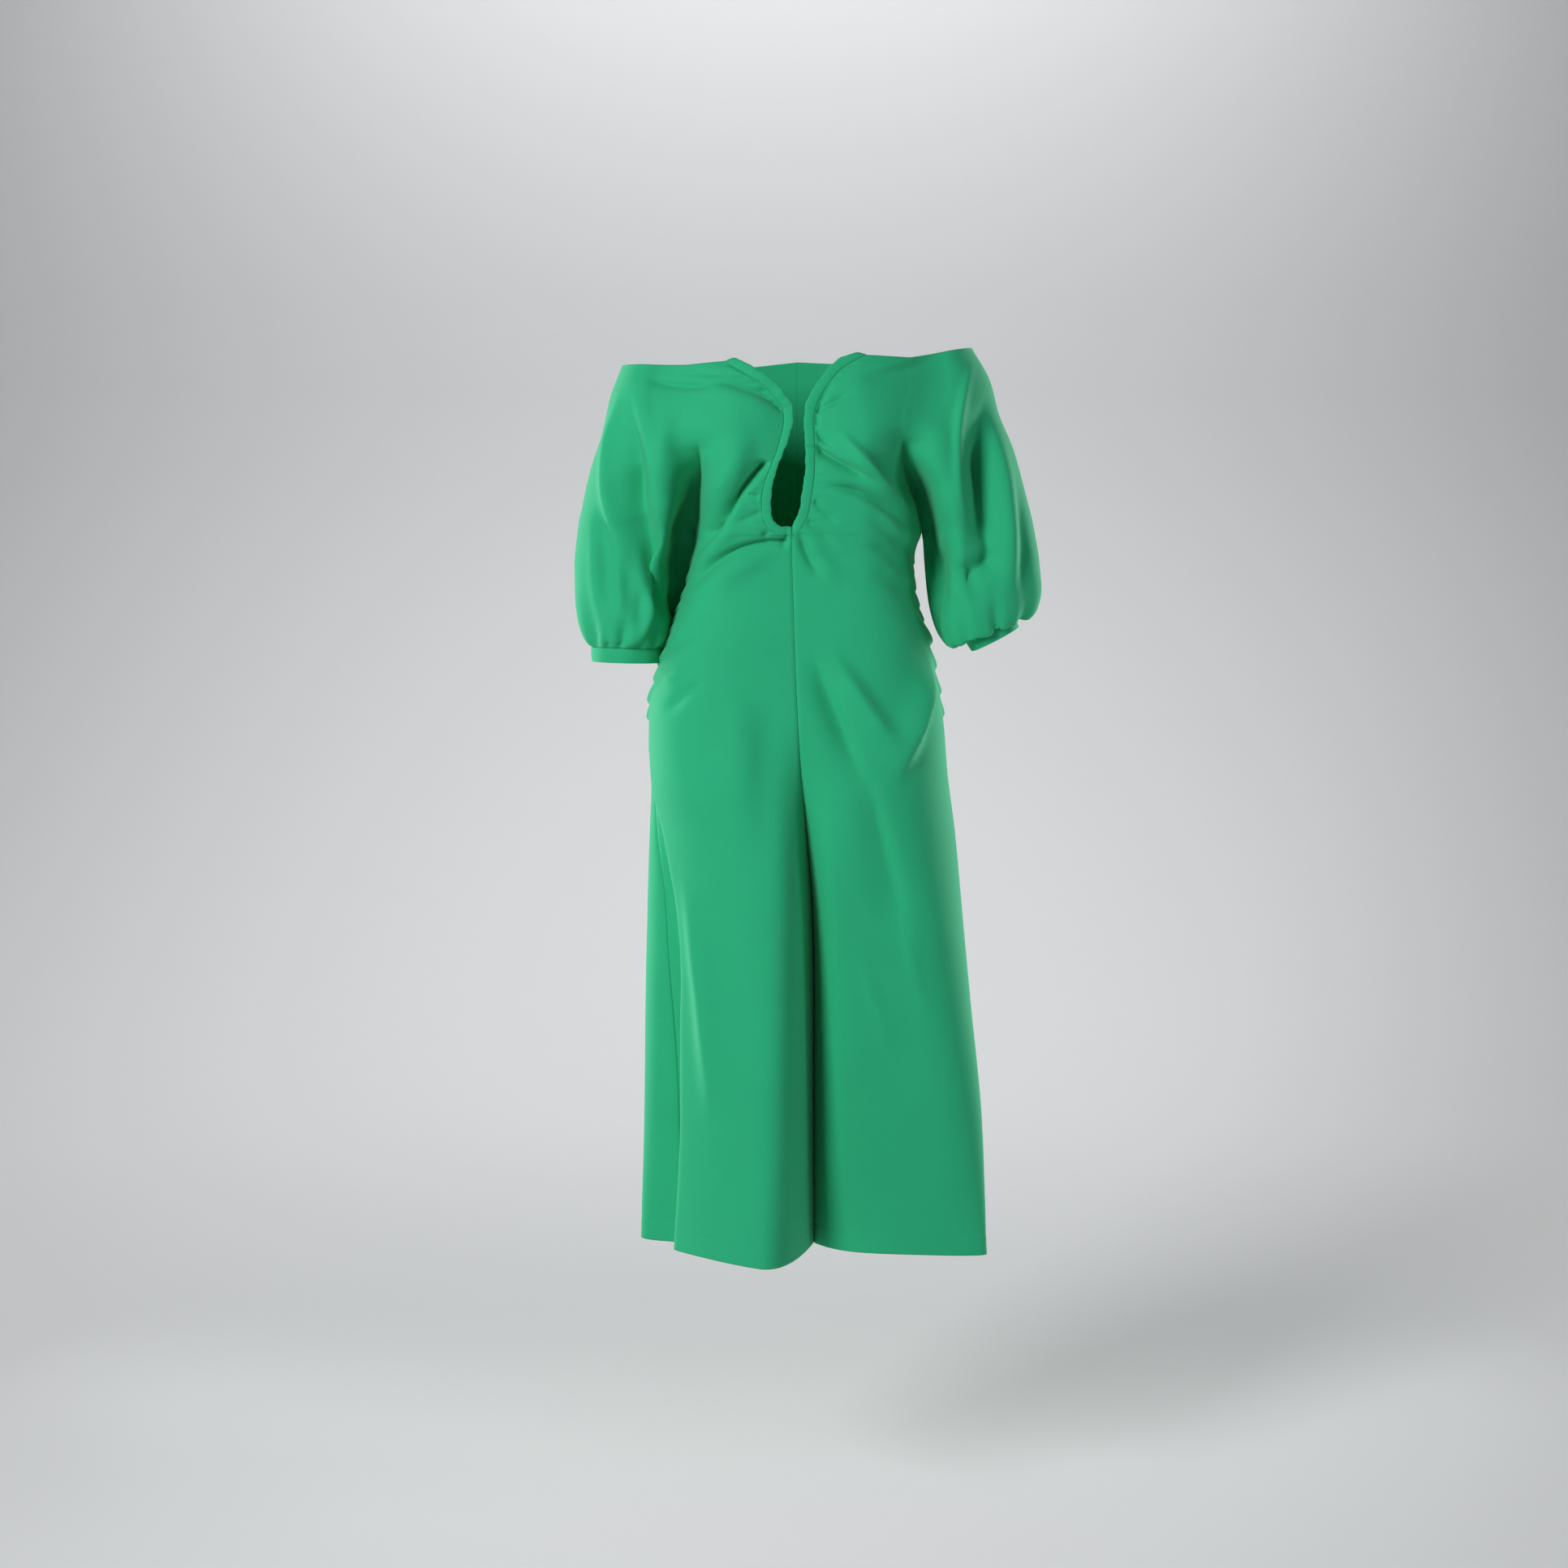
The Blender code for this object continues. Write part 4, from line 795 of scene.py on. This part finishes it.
def plain_panel(sizes, face, side, fine):
    """A panel before its folds: bmesh, how far each vertex moves, the casing seam's vertices."""
    body_levels, shared_levels, own_levels = row_levels(fine)
    across = FRONT_POINTS if face == "front" else BACK_POINTS
    places = edge_dense(round(across / fine), BODY_CROWD)
    around = edge_dense(round(SLEEVE_POINTS / fine), SLEEVE_CROWD)
    sleeve_levels = shared_levels + own_levels
    body = part_points(body_row, side, face, body_levels, places)
    sleeve = part_points(sleeve_row, side, face, sleeve_levels, around)
    shape = bmesh.new()
    body_verts = grid_of_points(shape, body.points, len(body_levels), len(places))
    sleeve_verts = grid_of_points(shape, sleeve.points, len(sleeve_levels), len(around))
    moved = dict(zip(body_verts, body_rise(sizes, side, face, body)))
    moved.update(zip(sleeve_verts, sleeve_rise(sizes, face, sleeve)))
    laid = dict(zip(body_verts, zip(body.place * body.length * MM, body.level * MM)))
    laid.update(zip(sleeve_verts, zip((sleeve.place * sleeve.length + SLEEVE_LAID_AT) * MM,
                                      sleeve.level * MM)))
    flat = shape.loops.layers.uv.new("cloth")
    for polygon in shape.faces:
        for corner in polygon.loops:
            corner[flat].uv = laid[corner.vert]
    same = {sleeve_verts[row * len(around)]: body_verts[(row + 1) * len(places) - 1]
            for row in range(len(shared_levels))}
    bmesh.ops.weld_verts(shape, targetmap=same)
    turned_outwards(shape)
    seam = [body_verts[row * len(places)] for row, level in enumerate(body_levels)
            if level >= CASING_FOOT]
    return shape, moved, seam


def build_panels(sizes):
    """The four panels as meshes, moved by their folds, with seams that agree.

    Gives each mesh by its name, and each front's casing seam as points and normals."""
    fine = fineness()
    built = {(face, side): plain_panel(sizes, face, side, fine) for face, side in PANELS}
    normals, rises = {}, {}
    for shape, moved, _ in built.values():
        for vertex in shape.verts:
            key = seam_key(vertex.co)
            normals[key] = normals.get(key, Vector()) + vertex.normal
            rises.setdefault(key, []).append(moved[vertex])
    meshes, casing_seams = {}, {}
    pins = [Vector(p) for p in crotches()]
    for (face, side), (shape, moved, seam) in built.items():
        lines = [(vertex, normals[seam_key(vertex.co)].normalized()) for vertex in seam]
        for vertex in shape.verts:
            key = seam_key(vertex.co)
            pinned = min((vertex.co - pin).length for pin in pins) / MM
            free = float(smooth(CROTCH_STILL, CROTCH_FREE, pinned))
            rise = sum(rises[key]) / len(rises[key]) * free
            vertex.co += normals[key].normalized() * rise * MM
        if face == "front":
            casing_seams[side] = (np.array([v.co for v, _ in lines]) / MM,
                                  np.array([n for _, n in lines]))
        mesh = bpy.data.meshes.new(f"crepe_{face}_{side}")
        shape.to_mesh(mesh)
        shape.free()
        meshes[face, side] = mesh
    return meshes, casing_seams


# ---------------------------------------------------------------- casings and cuffs

_casing_seams = {}       # of each front, as build_panels gives it

# A section of the casing: share of its width from seam to free edge, and height in thicknesses.
Oval = namedtuple("Oval", "share height")
CASING_OVAL = [
    Oval(0.0, 0.10), Oval(0.06, 0.34), Oval(0.16, 0.44), Oval(0.32, 0.49), Oval(0.5, 0.5),
    Oval(0.68, 0.48), Oval(0.84, 0.40), Oval(0.94, 0.26), Oval(1.0, 0.06), Oval(1.0, -0.16),
    Oval(0.95, -0.34), Oval(0.82, -0.46), Oval(0.6, -0.5), Oval(0.3, -0.5), Oval(0.08, -0.44),
    Oval(0.0, -0.2),
]


def wrapped(shape, rings):
    """A tube through rings of points: a grid whose two long edges are welded."""
    rows, count = rings.shape[:2]
    closed = np.concatenate([rings, rings[:, :1]], axis=1).reshape(-1, 3)
    verts = grid_of_points(shape, closed, rows, count + 1)
    same = {verts[(row + 1) * (count + 1) - 1]: verts[row * (count + 1)] for row in range(rows)}
    bmesh.ops.weld_verts(shape, targetmap=same)


def finished_mesh(shape, name):
    """The bmesh as a mesh that faces outwards."""
    bmesh.ops.recalc_face_normals(shape, faces=shape.faces)
    if shape.calc_volume(signed=True) < 0:
        bmesh.ops.reverse_faces(shape, faces=shape.faces)
    mesh = bpy.data.meshes.new(name)
    shape.to_mesh(mesh)
    shape.free()
    return mesh


def evened(vectors, passes):
    """Unit vectors along a line, each drawn towards its neighbours."""
    vectors = vectors.copy()
    for _ in range(passes):
        vectors[1:-1] = (vectors[:-2] + 2 * vectors[1:-1] + vectors[2:]) / 4
    return vectors / np.linalg.norm(vectors, axis=1)[:, None]


def casing_mesh(side, seam, out):
    """The rolled band on the plunge and keyhole: a flat oval carried down the panel's edge."""
    levels = [level for level in row_levels(fineness())[0] if level >= CASING_FOOT]
    path = table_at(CASINGS[side], levels)
    edge = np.column_stack([path.edge_x, seam[:, 1] - CASING_BACK, path.edge_z])
    run = np.gradient(seam, axis=0)
    run = run / np.linalg.norm(run, axis=1)[:, None]
    across = edge - seam
    square = across - run * (across * run).sum(1)[:, None]
    square = square / np.linalg.norm(square, axis=1)[:, None]
    square[-1] = (0, 0, 1)
    start = seam + square * SEAM_GAP
    across = edge - start
    start[-1, 0] += CASING_APART if side == "left" else -CASING_APART
    across[-1, 0] = 0.0
    out = evened(out, passes=60)
    out[-1] = (0, -1, 0)
    out = out - across * ((out * across).sum(1) / (across * across).sum(1))[:, None]
    out = out / np.linalg.norm(out, axis=1)[:, None]
    down = lengths_along(seam[:, [0, 2]])
    pucker = 1 + CASING_PUCKER * wave(2 * math.pi * down / CASING_PUCKER_STEP, 0.8)
    wobble = np.sin(down / 1.9 + 1.7 * np.sin(down / 9.0)) + 0.8 * np.sin(down / 3.3 + 0.4)
    across = across + square * (CASING_WOBBLE * wobble)[:, None]
    thick = (CASING_THICK * pucker)[:, None]
    loops = [start + across * at.share + out * (at.height * thick - CASING_SINK)
             for at in CASING_OVAL]
    rings = np.array(loops).transpose(1, 0, 2)
    shape = bmesh.new()
    wrapped(shape, rings)
    bmesh.ops.holes_fill(shape, edges=[e for e in shape.edges if e.is_boundary], sides=0)
    return finished_mesh(shape, f"crepe_casing_{side}")


def cuff_mesh(side):
    """A band that goes on from the sleeve's lowest row, and draws in a little."""
    around = np.linspace(0, 1, CUFF_POINTS)
    front = sleeve_row(side, "front", CUFF_SEAM, around)[0]
    back = sleeve_row(side, "back", CUFF_SEAM, around[::-1])[0]
    ring = np.vstack([front, back[1:-1]])
    middle = ring.mean(axis=0)
    spoke = ring - middle
    down = np.cross(spoke, np.roll(spoke, -1, axis=0)).sum(axis=0)
    down = down / np.linalg.norm(down)
    down = down if down[2] < 0 else -down
    reach = np.linalg.norm(spoke, axis=1)[:, None]
    # the band's section, once round: down the outside, round the fold, up the inside
    turn = np.linspace(0, 2 * math.pi, CUFF_SECTION_POINTS + 1)[:-1]
    deep = 0.5 - 0.5 * np.sign(np.cos(turn)) * np.abs(np.cos(turn)) ** 0.28
    out = np.sign(np.sin(turn)) * np.abs(np.sin(turn)) ** 0.45
    rings = []
    ripple = CUFF_RIPPLE * wave(np.linspace(0, 16 * math.pi, len(ring)), 0.8)[:, None]
    for share, side_out in zip(deep, out):
        girth = 1.0 + CUFF_SWELL * math.sin(math.pi * share) - CUFF_DRAW_IN * share + ripple
        inwards = (1 - side_out) / 2 * CUFF_THICK
        rings.append(middle + down * (SEAM_GAP + share * CUFF_DEPTH)
                     + spoke * (girth - inwards / reach))
    shape = bmesh.new()
    wrapped(shape, np.array(rings + rings[:1]))
    bmesh.ops.remove_doubles(shape, verts=shape.verts, dist=0.00001)
    return finished_mesh(shape, f"crepe_cuff_{side}")


# ---------------------------------------------------------------- materials

def linear(colour):
    """Scene-linear red, green and blue of an sRGB hex colour."""
    parts = [int(colour[i:i + 2], 16) / 255 for i in (1, 3, 5)]
    return [v / 12.92 if v <= 0.04045 else ((v + 0.055) / 1.055) ** 2.4 for v in parts]


def node(tree, kind, inputs=None, **settings):
    """A new node, its settings made and its inputs given a value or linked from a socket."""
    made = tree.nodes.new(kind)
    for name, value in settings.items():
        setattr(made, name, value)
    for name, value in (inputs or {}).items():
        if isinstance(value, bpy.types.NodeSocket):
            tree.links.new(value, made.inputs[name])
        else:
            made.inputs[name].default_value = value
    return made


def plain_material(name):
    """A new material, its node tree and shader, and the place of each point on its object."""
    made = bpy.data.materials.new(name)
    made.use_nodes = True
    tree = made.node_tree
    place = node(tree, "ShaderNodeTexCoord").outputs["Object"]
    return made, tree, tree.nodes["Principled BSDF"], place


def heavy_crepe(cloth, name):
    """Double-faced wool crepe, woven of hard-twisted yarns and piece-dyed.

    The yarns pebble its dense matte face. It scatters light broadly, with a faint bright fuzz
    where it is seen edge on."""
    made, tree, shader, place = plain_material(name)
    # crepe pebbles are about 0.8 mm across; drawn at twice that, so that they show in the render
    pebble = node(tree, "ShaderNodeTexNoise", {"Vector": place, "Scale": 1 / cloth.grain,
                                               "Detail": 2.0, "Roughness": 0.6})
    # slight unevenness of hand and press, some 12 mm across
    hand = node(tree, "ShaderNodeTexNoise", {"Vector": place, "Scale": 80.0, "Detail": 2.0})
    # dye takes a little unevenly, over some 90 mm
    dye = node(tree, "ShaderNodeTexNoise", {"Vector": place, "Scale": 11.0, "Detail": 3.0})
    base = list(cloth.green)
    deep = [v * 0.86 for v in base]
    light = [v * 1.06 for v in base]
    tone = node(tree, "ShaderNodeMix", {"Factor": dye.outputs["Fac"], "A": (*deep, 1),
                                        "B": (*light, 1)}, data_type="RGBA")
    yarn = node(tree, "ShaderNodeMix", {"Factor": pebble.outputs["Fac"], "A": (*deep, 1),
                                        "B": (*light, 1)}, data_type="RGBA")
    mixed = node(tree, "ShaderNodeMix", {"Factor": 0.4, "A": tone.outputs["Result"],
                                         "B": yarn.outputs["Result"]}, data_type="RGBA")
    grain = node(tree, "ShaderNodeBump", {"Height": pebble.outputs["Fac"], "Strength": 0.35,
                                          "Distance": 0.0004})
    uneven = node(tree, "ShaderNodeBump", {"Height": hand.outputs["Fac"], "Strength": 0.3,
                                           "Distance": 0.0006, "Normal": grain.outputs["Normal"]})
    tree.links.new(mixed.outputs["Result"], shader.inputs["Base Color"])
    tree.links.new(uneven.outputs["Normal"], shader.inputs["Normal"])
    shader.inputs["Roughness"].default_value = cloth.roughness
    shader.inputs["Specular IOR Level"].default_value = 0.25
    shader.inputs["Sheen Weight"].default_value = cloth.fuzz
    shader.inputs["Sheen Roughness"].default_value = 0.45
    shader.inputs["Sheen Tint"].default_value = (*linear("#a9ecc9"), 1)
    return made


def matte_paper(name, colour):
    """Seamless studio paper: matte and even."""
    made, tree, shader, place = plain_material(name)
    fibre = node(tree, "ShaderNodeTexNoise", {"Vector": place, "Scale": 300.0, "Detail": 2.0})
    rough = node(tree, "ShaderNodeBump", {"Height": fibre.outputs["Fac"], "Strength": 0.1,
                                          "Distance": 0.0002})
    tree.links.new(rough.outputs["Normal"], shader.inputs["Normal"])
    shader.inputs["Base Color"].default_value = (*colour, 1)
    shader.inputs["Roughness"].default_value = 0.9
    return made


# ---------------------------------------------------------------- what a user can change

class DressSizes(PropertyGroup):
    """Sizes of the cloth and of its gathers."""
    wall: FloatProperty(
        name="Cloth", description="Thickness of the crepe", default=0.0014, min=0.001,
        max=0.003, unit="LENGTH", precision=4)
    seam_depth: FloatProperty(
        name="Seam depth", description="How deep a seam draws the cloth in", default=0.0011,
        min=0.0, max=0.003, unit="LENGTH", precision=4)
    hem_depth: FloatProperty(
        name="Hem", description="Depth of the turned hem", default=0.025, min=0.01, max=0.06,
        unit="LENGTH", precision=4)
    fold_depth: FloatProperty(
        name="Fold depth", description="Depth of the large folds against the cut's own",
        default=1.15, min=0.0, max=1.5, subtype="FACTOR")
    gather_depth: FloatProperty(
        name="Side gathers", description="Depth of the side seams' gathers against the cut's own",
        default=1.0, min=0.0, max=1.5, subtype="FACTOR")
    casing_gathers: IntProperty(
        name="Casing gathers", description="Gathers along each casing", default=26, min=6,
        max=40)
    cuff_gathers: IntProperty(
        name="Cuff gathers", description="Gathers above half a cuff", default=8, min=4, max=20)


class DressCloth(PropertyGroup):
    """Colour and finish of the crepe."""
    green: FloatVectorProperty(
        name="Green", description="Dye of the crepe", subtype="COLOR", size=3, min=0.0, max=1.0,
        default=linear("#26b37e"))
    roughness: FloatProperty(
        name="Roughness", description="How broadly the crepe scatters light", default=0.82,
        min=0.0, max=1.0, subtype="FACTOR")
    fuzz: FloatProperty(
        name="Fuzz", description="Brightness of the cloth where it is seen edge on",
        default=0.25, min=0.0, max=1.0, subtype="FACTOR")
    grain: FloatProperty(
        name="Grain", description="Width of the crepe's pebbles", default=0.0016, min=0.0005,
        max=0.005, unit="LENGTH", precision=4)


class DressStage(PropertyGroup):
    """The studio: floor, lamps and camera."""
    floor_drop: FloatProperty(
        name="Floor", description="Height of the neckline above the floor", default=1.405,
        min=1.1, max=1.8, unit="LENGTH")
    paper: FloatVectorProperty(
        name="Paper", description="Colour of floor and backdrop", subtype="COLOR", size=3,
        min=0.0, max=1.0, default=linear("#d9dadb"))
    key: FloatProperty(
        name="Key", description="Power of the key lamp", default=84.0, min=0.0, max=500.0,
        unit="POWER")
    side: FloatProperty(
        name="Side", description="Power of the lamp at the wearer's left", default=15.0,
        min=0.0, max=500.0, unit="POWER")
    backdrop: FloatProperty(
        name="Backdrop", description="Power of the lamp over floor and backdrop", default=62.0,
        min=0.0, max=500.0, unit="POWER")
    strip: FloatProperty(
        name="Strip", description="Power of the strip lamp that lights the backdrop alone",
        default=16.0, min=0.0, max=500.0, unit="POWER")
    rim: FloatProperty(
        name="Rim", description="Power of each lamp behind the dress", default=4.0, min=0.0,
        max=500.0, unit="POWER")


# ---------------------------------------------------------------- operators

def dressed(mesh, name, cloth):
    """An object of the dress at the origin, which stands for the CAD node of the same name."""
    made = bpy.data.objects.new(f"crepe_{name}", mesh)
    bpy.context.scene.collection.objects.link(made)
    mesh.materials.append(heavy_crepe(cloth, f"{name}_heavy_crepe"))
    mesh.shade_smooth()
    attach(made, "root")
    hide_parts(name)
    return made


# Flat cut of each panel with its half sleeve: the width and length of the piece of cloth that it
# is cut from, and its own area, in metres and square metres.
Cut = namedtuple("Cut", "width length area")


class DRESS_OT_panels(Operator):
    """Make the two fronts and two backs, each with its half of the sleeve"""
    bl_idname = "dress.panels"
    bl_label = "Panels"

    def execute(self, context):
        sizes, cloth = context.scene.dress_sizes, context.scene.dress_cloth
        meshes, seams = build_panels(sizes)
        _casing_seams.update(seams)
        for (face, side), mesh in meshes.items():
            panel = dressed(mesh, f"{face}_{side}", cloth)
            wall = panel.modifiers.new("cloth", "SOLIDIFY")
            wall.thickness = sizes.wall
            wall.offset = -1
        return {"FINISHED"}


class DRESS_OT_casings(Operator):
    """Make the gathered casings on the plunge and keyhole"""
    bl_idname = "dress.casings"
    bl_label = "Casings"

    def execute(self, context):
        for side in ("left", "right"):
            mesh = casing_mesh(side, *_casing_seams[side])
            dressed(mesh, f"casing_{side}", context.scene.dress_cloth)
        return {"FINISHED"}


class DRESS_OT_cuffs(Operator):
    """Make the narrow cuffs"""
    bl_idname = "dress.cuffs"
    bl_label = "Cuffs"

    def execute(self, context):
        for side in ("left", "right"):
            mesh = cuff_mesh(side)
            dressed(mesh, f"cuff_{side}", context.scene.dress_cloth)
        return {"FINISHED"}


def lamp(name, at, aim, size, power):
    """A soft lamp at a place, aimed at another."""
    light = bpy.data.lights.new(name, "AREA")
    light.shape = "RECTANGLE"
    light.size, light.size_y = size
    light.energy = power
    made = bpy.data.objects.new(name, light)
    made.location = at
    made.rotation_euler = (Vector(aim) - Vector(at)).to_track_quat("-Z", "Y").to_euler()
    bpy.context.scene.collection.objects.link(made)
    return made


def paper_sweep(drop):
    """The paper's mesh: flat on the floor, bent up behind the dress, then upright."""
    shape = bmesh.new()
    verts = bmesh.ops.create_grid(shape, x_segments=2, y_segments=60, size=0.5)["verts"]
    for vertex in verts:
        run = (vertex.co.y + 0.5) * PAPER_SIZE
        past = max(0.0, run - PAPER_FLAT)
        turn = min(past / PAPER_BEND, math.pi / 2)
        y = PAPER_FRONT + min(run, PAPER_FLAT) + PAPER_BEND * math.sin(turn)
        z = PAPER_BEND * (1 - math.cos(turn)) + max(0.0, past - PAPER_BEND * math.pi / 2)
        vertex.co = (vertex.co.x * PAPER_SIZE, y, z - drop)
    bmesh.ops.recalc_face_normals(shape, faces=shape.faces)
    mesh = bpy.data.meshes.new("paper_sweep")
    shape.to_mesh(mesh)
    shape.free()
    mesh.shade_smooth()
    return mesh


class DRESS_OT_stage(Operator):
    """Make the floor with its backdrop, the lamps and the camera"""
    bl_idname = "dress.stage"
    bl_label = "Stage"

    def execute(self, context):
        stage = context.scene.dress_stage
        mesh = paper_sweep(stage.floor_drop)
        mesh.materials.append(matte_paper("studio_paper", stage.paper))
        sweep = bpy.data.objects.new("paper_sweep", mesh)
        context.scene.collection.objects.link(sweep)

        aim = (0, 0, -0.5)
        lamp("key", (-1.85, -2.45, 0.8), aim, (0.9, 1.3), stage.key)
        lamp("side", (2.7, -0.85, 0.0), aim, (0.7, 1.4), stage.side)
        lamp("backdrop", (0, 2.4, 2.6), (0, 2.6, -1.4), (2.5, 1.5), stage.backdrop)
        lamp("paper", (0, 2.9, 2.6), (0, 2.7, -1.4), (4.0, 1.0), stage.strip).data.spread = 1.6
        for name, side in (("rim_left", 1), ("rim_right", -1)):
            lamp(name, (side * 1.5, 0.9, -0.35), aim, (0.4, 1.6), stage.rim).data.spread = 1.0
        world = bpy.data.worlds.new("studio")
        context.scene.world = world
        world.use_nodes = True
        air = world.node_tree.nodes["Background"]
        air.inputs["Color"].default_value = (0.9, 0.95, 1.0, 1)
        air.inputs["Strength"].default_value = 0.04
        context.scene.view_settings.view_transform = "Standard"

        lens = bpy.data.cameras.new("camera")
        lens.sensor_width, lens.lens = 36.0, 58.2
        lens.shift_y = (HORIZON_PIXEL - PHOTO_PIXELS / 2) / PHOTO_PIXELS
        camera = bpy.data.objects.new("camera", lens)
        camera.location = (-0.0163, -3.0, -0.225)
        camera.rotation_euler = (math.pi / 2, 0, 0)
        context.scene.collection.objects.link(camera)
        context.scene.camera = camera
        return {"FINISHED"}


class DRESS_PT_sidebar(Panel):
    """The dress's pieces and what can be changed on them"""
    bl_label = "Dress"
    bl_idname = "DRESS_PT_sidebar"
    bl_space_type = "VIEW_3D"
    bl_region_type = "UI"
    bl_category = "Dress"

    def draw(self, context):
        groups = (context.scene.dress_sizes, context.scene.dress_cloth, context.scene.dress_stage)
        for group in groups:
            box = self.layout.box()
            for name in group.__annotations__:
                box.prop(group, name)
        for step in STEPS:
            self.layout.operator(step.bl_idname)


STEPS = (DRESS_OT_panels, DRESS_OT_casings, DRESS_OT_cuffs, DRESS_OT_stage)
GROUPS = {"dress_sizes": DressSizes, "dress_cloth": DressCloth, "dress_stage": DressStage}


def register():
    for made in (*GROUPS.values(), *STEPS, DRESS_PT_sidebar):
        bpy.utils.register_class(made)
    for name, group in GROUPS.items():
        setattr(bpy.types.Scene, name, PointerProperty(type=group))


def unregister():
    for name in GROUPS:
        delattr(bpy.types.Scene, name)
    for made in reversed((*GROUPS.values(), *STEPS, DRESS_PT_sidebar)):
        bpy.utils.unregister_class(made)


def main():
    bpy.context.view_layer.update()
    register()
    bpy.ops.dress.panels()
    bpy.ops.dress.casings()
    bpy.ops.dress.cuffs()
    bpy.ops.dress.stage()


if __name__ == "__main__":
    main()
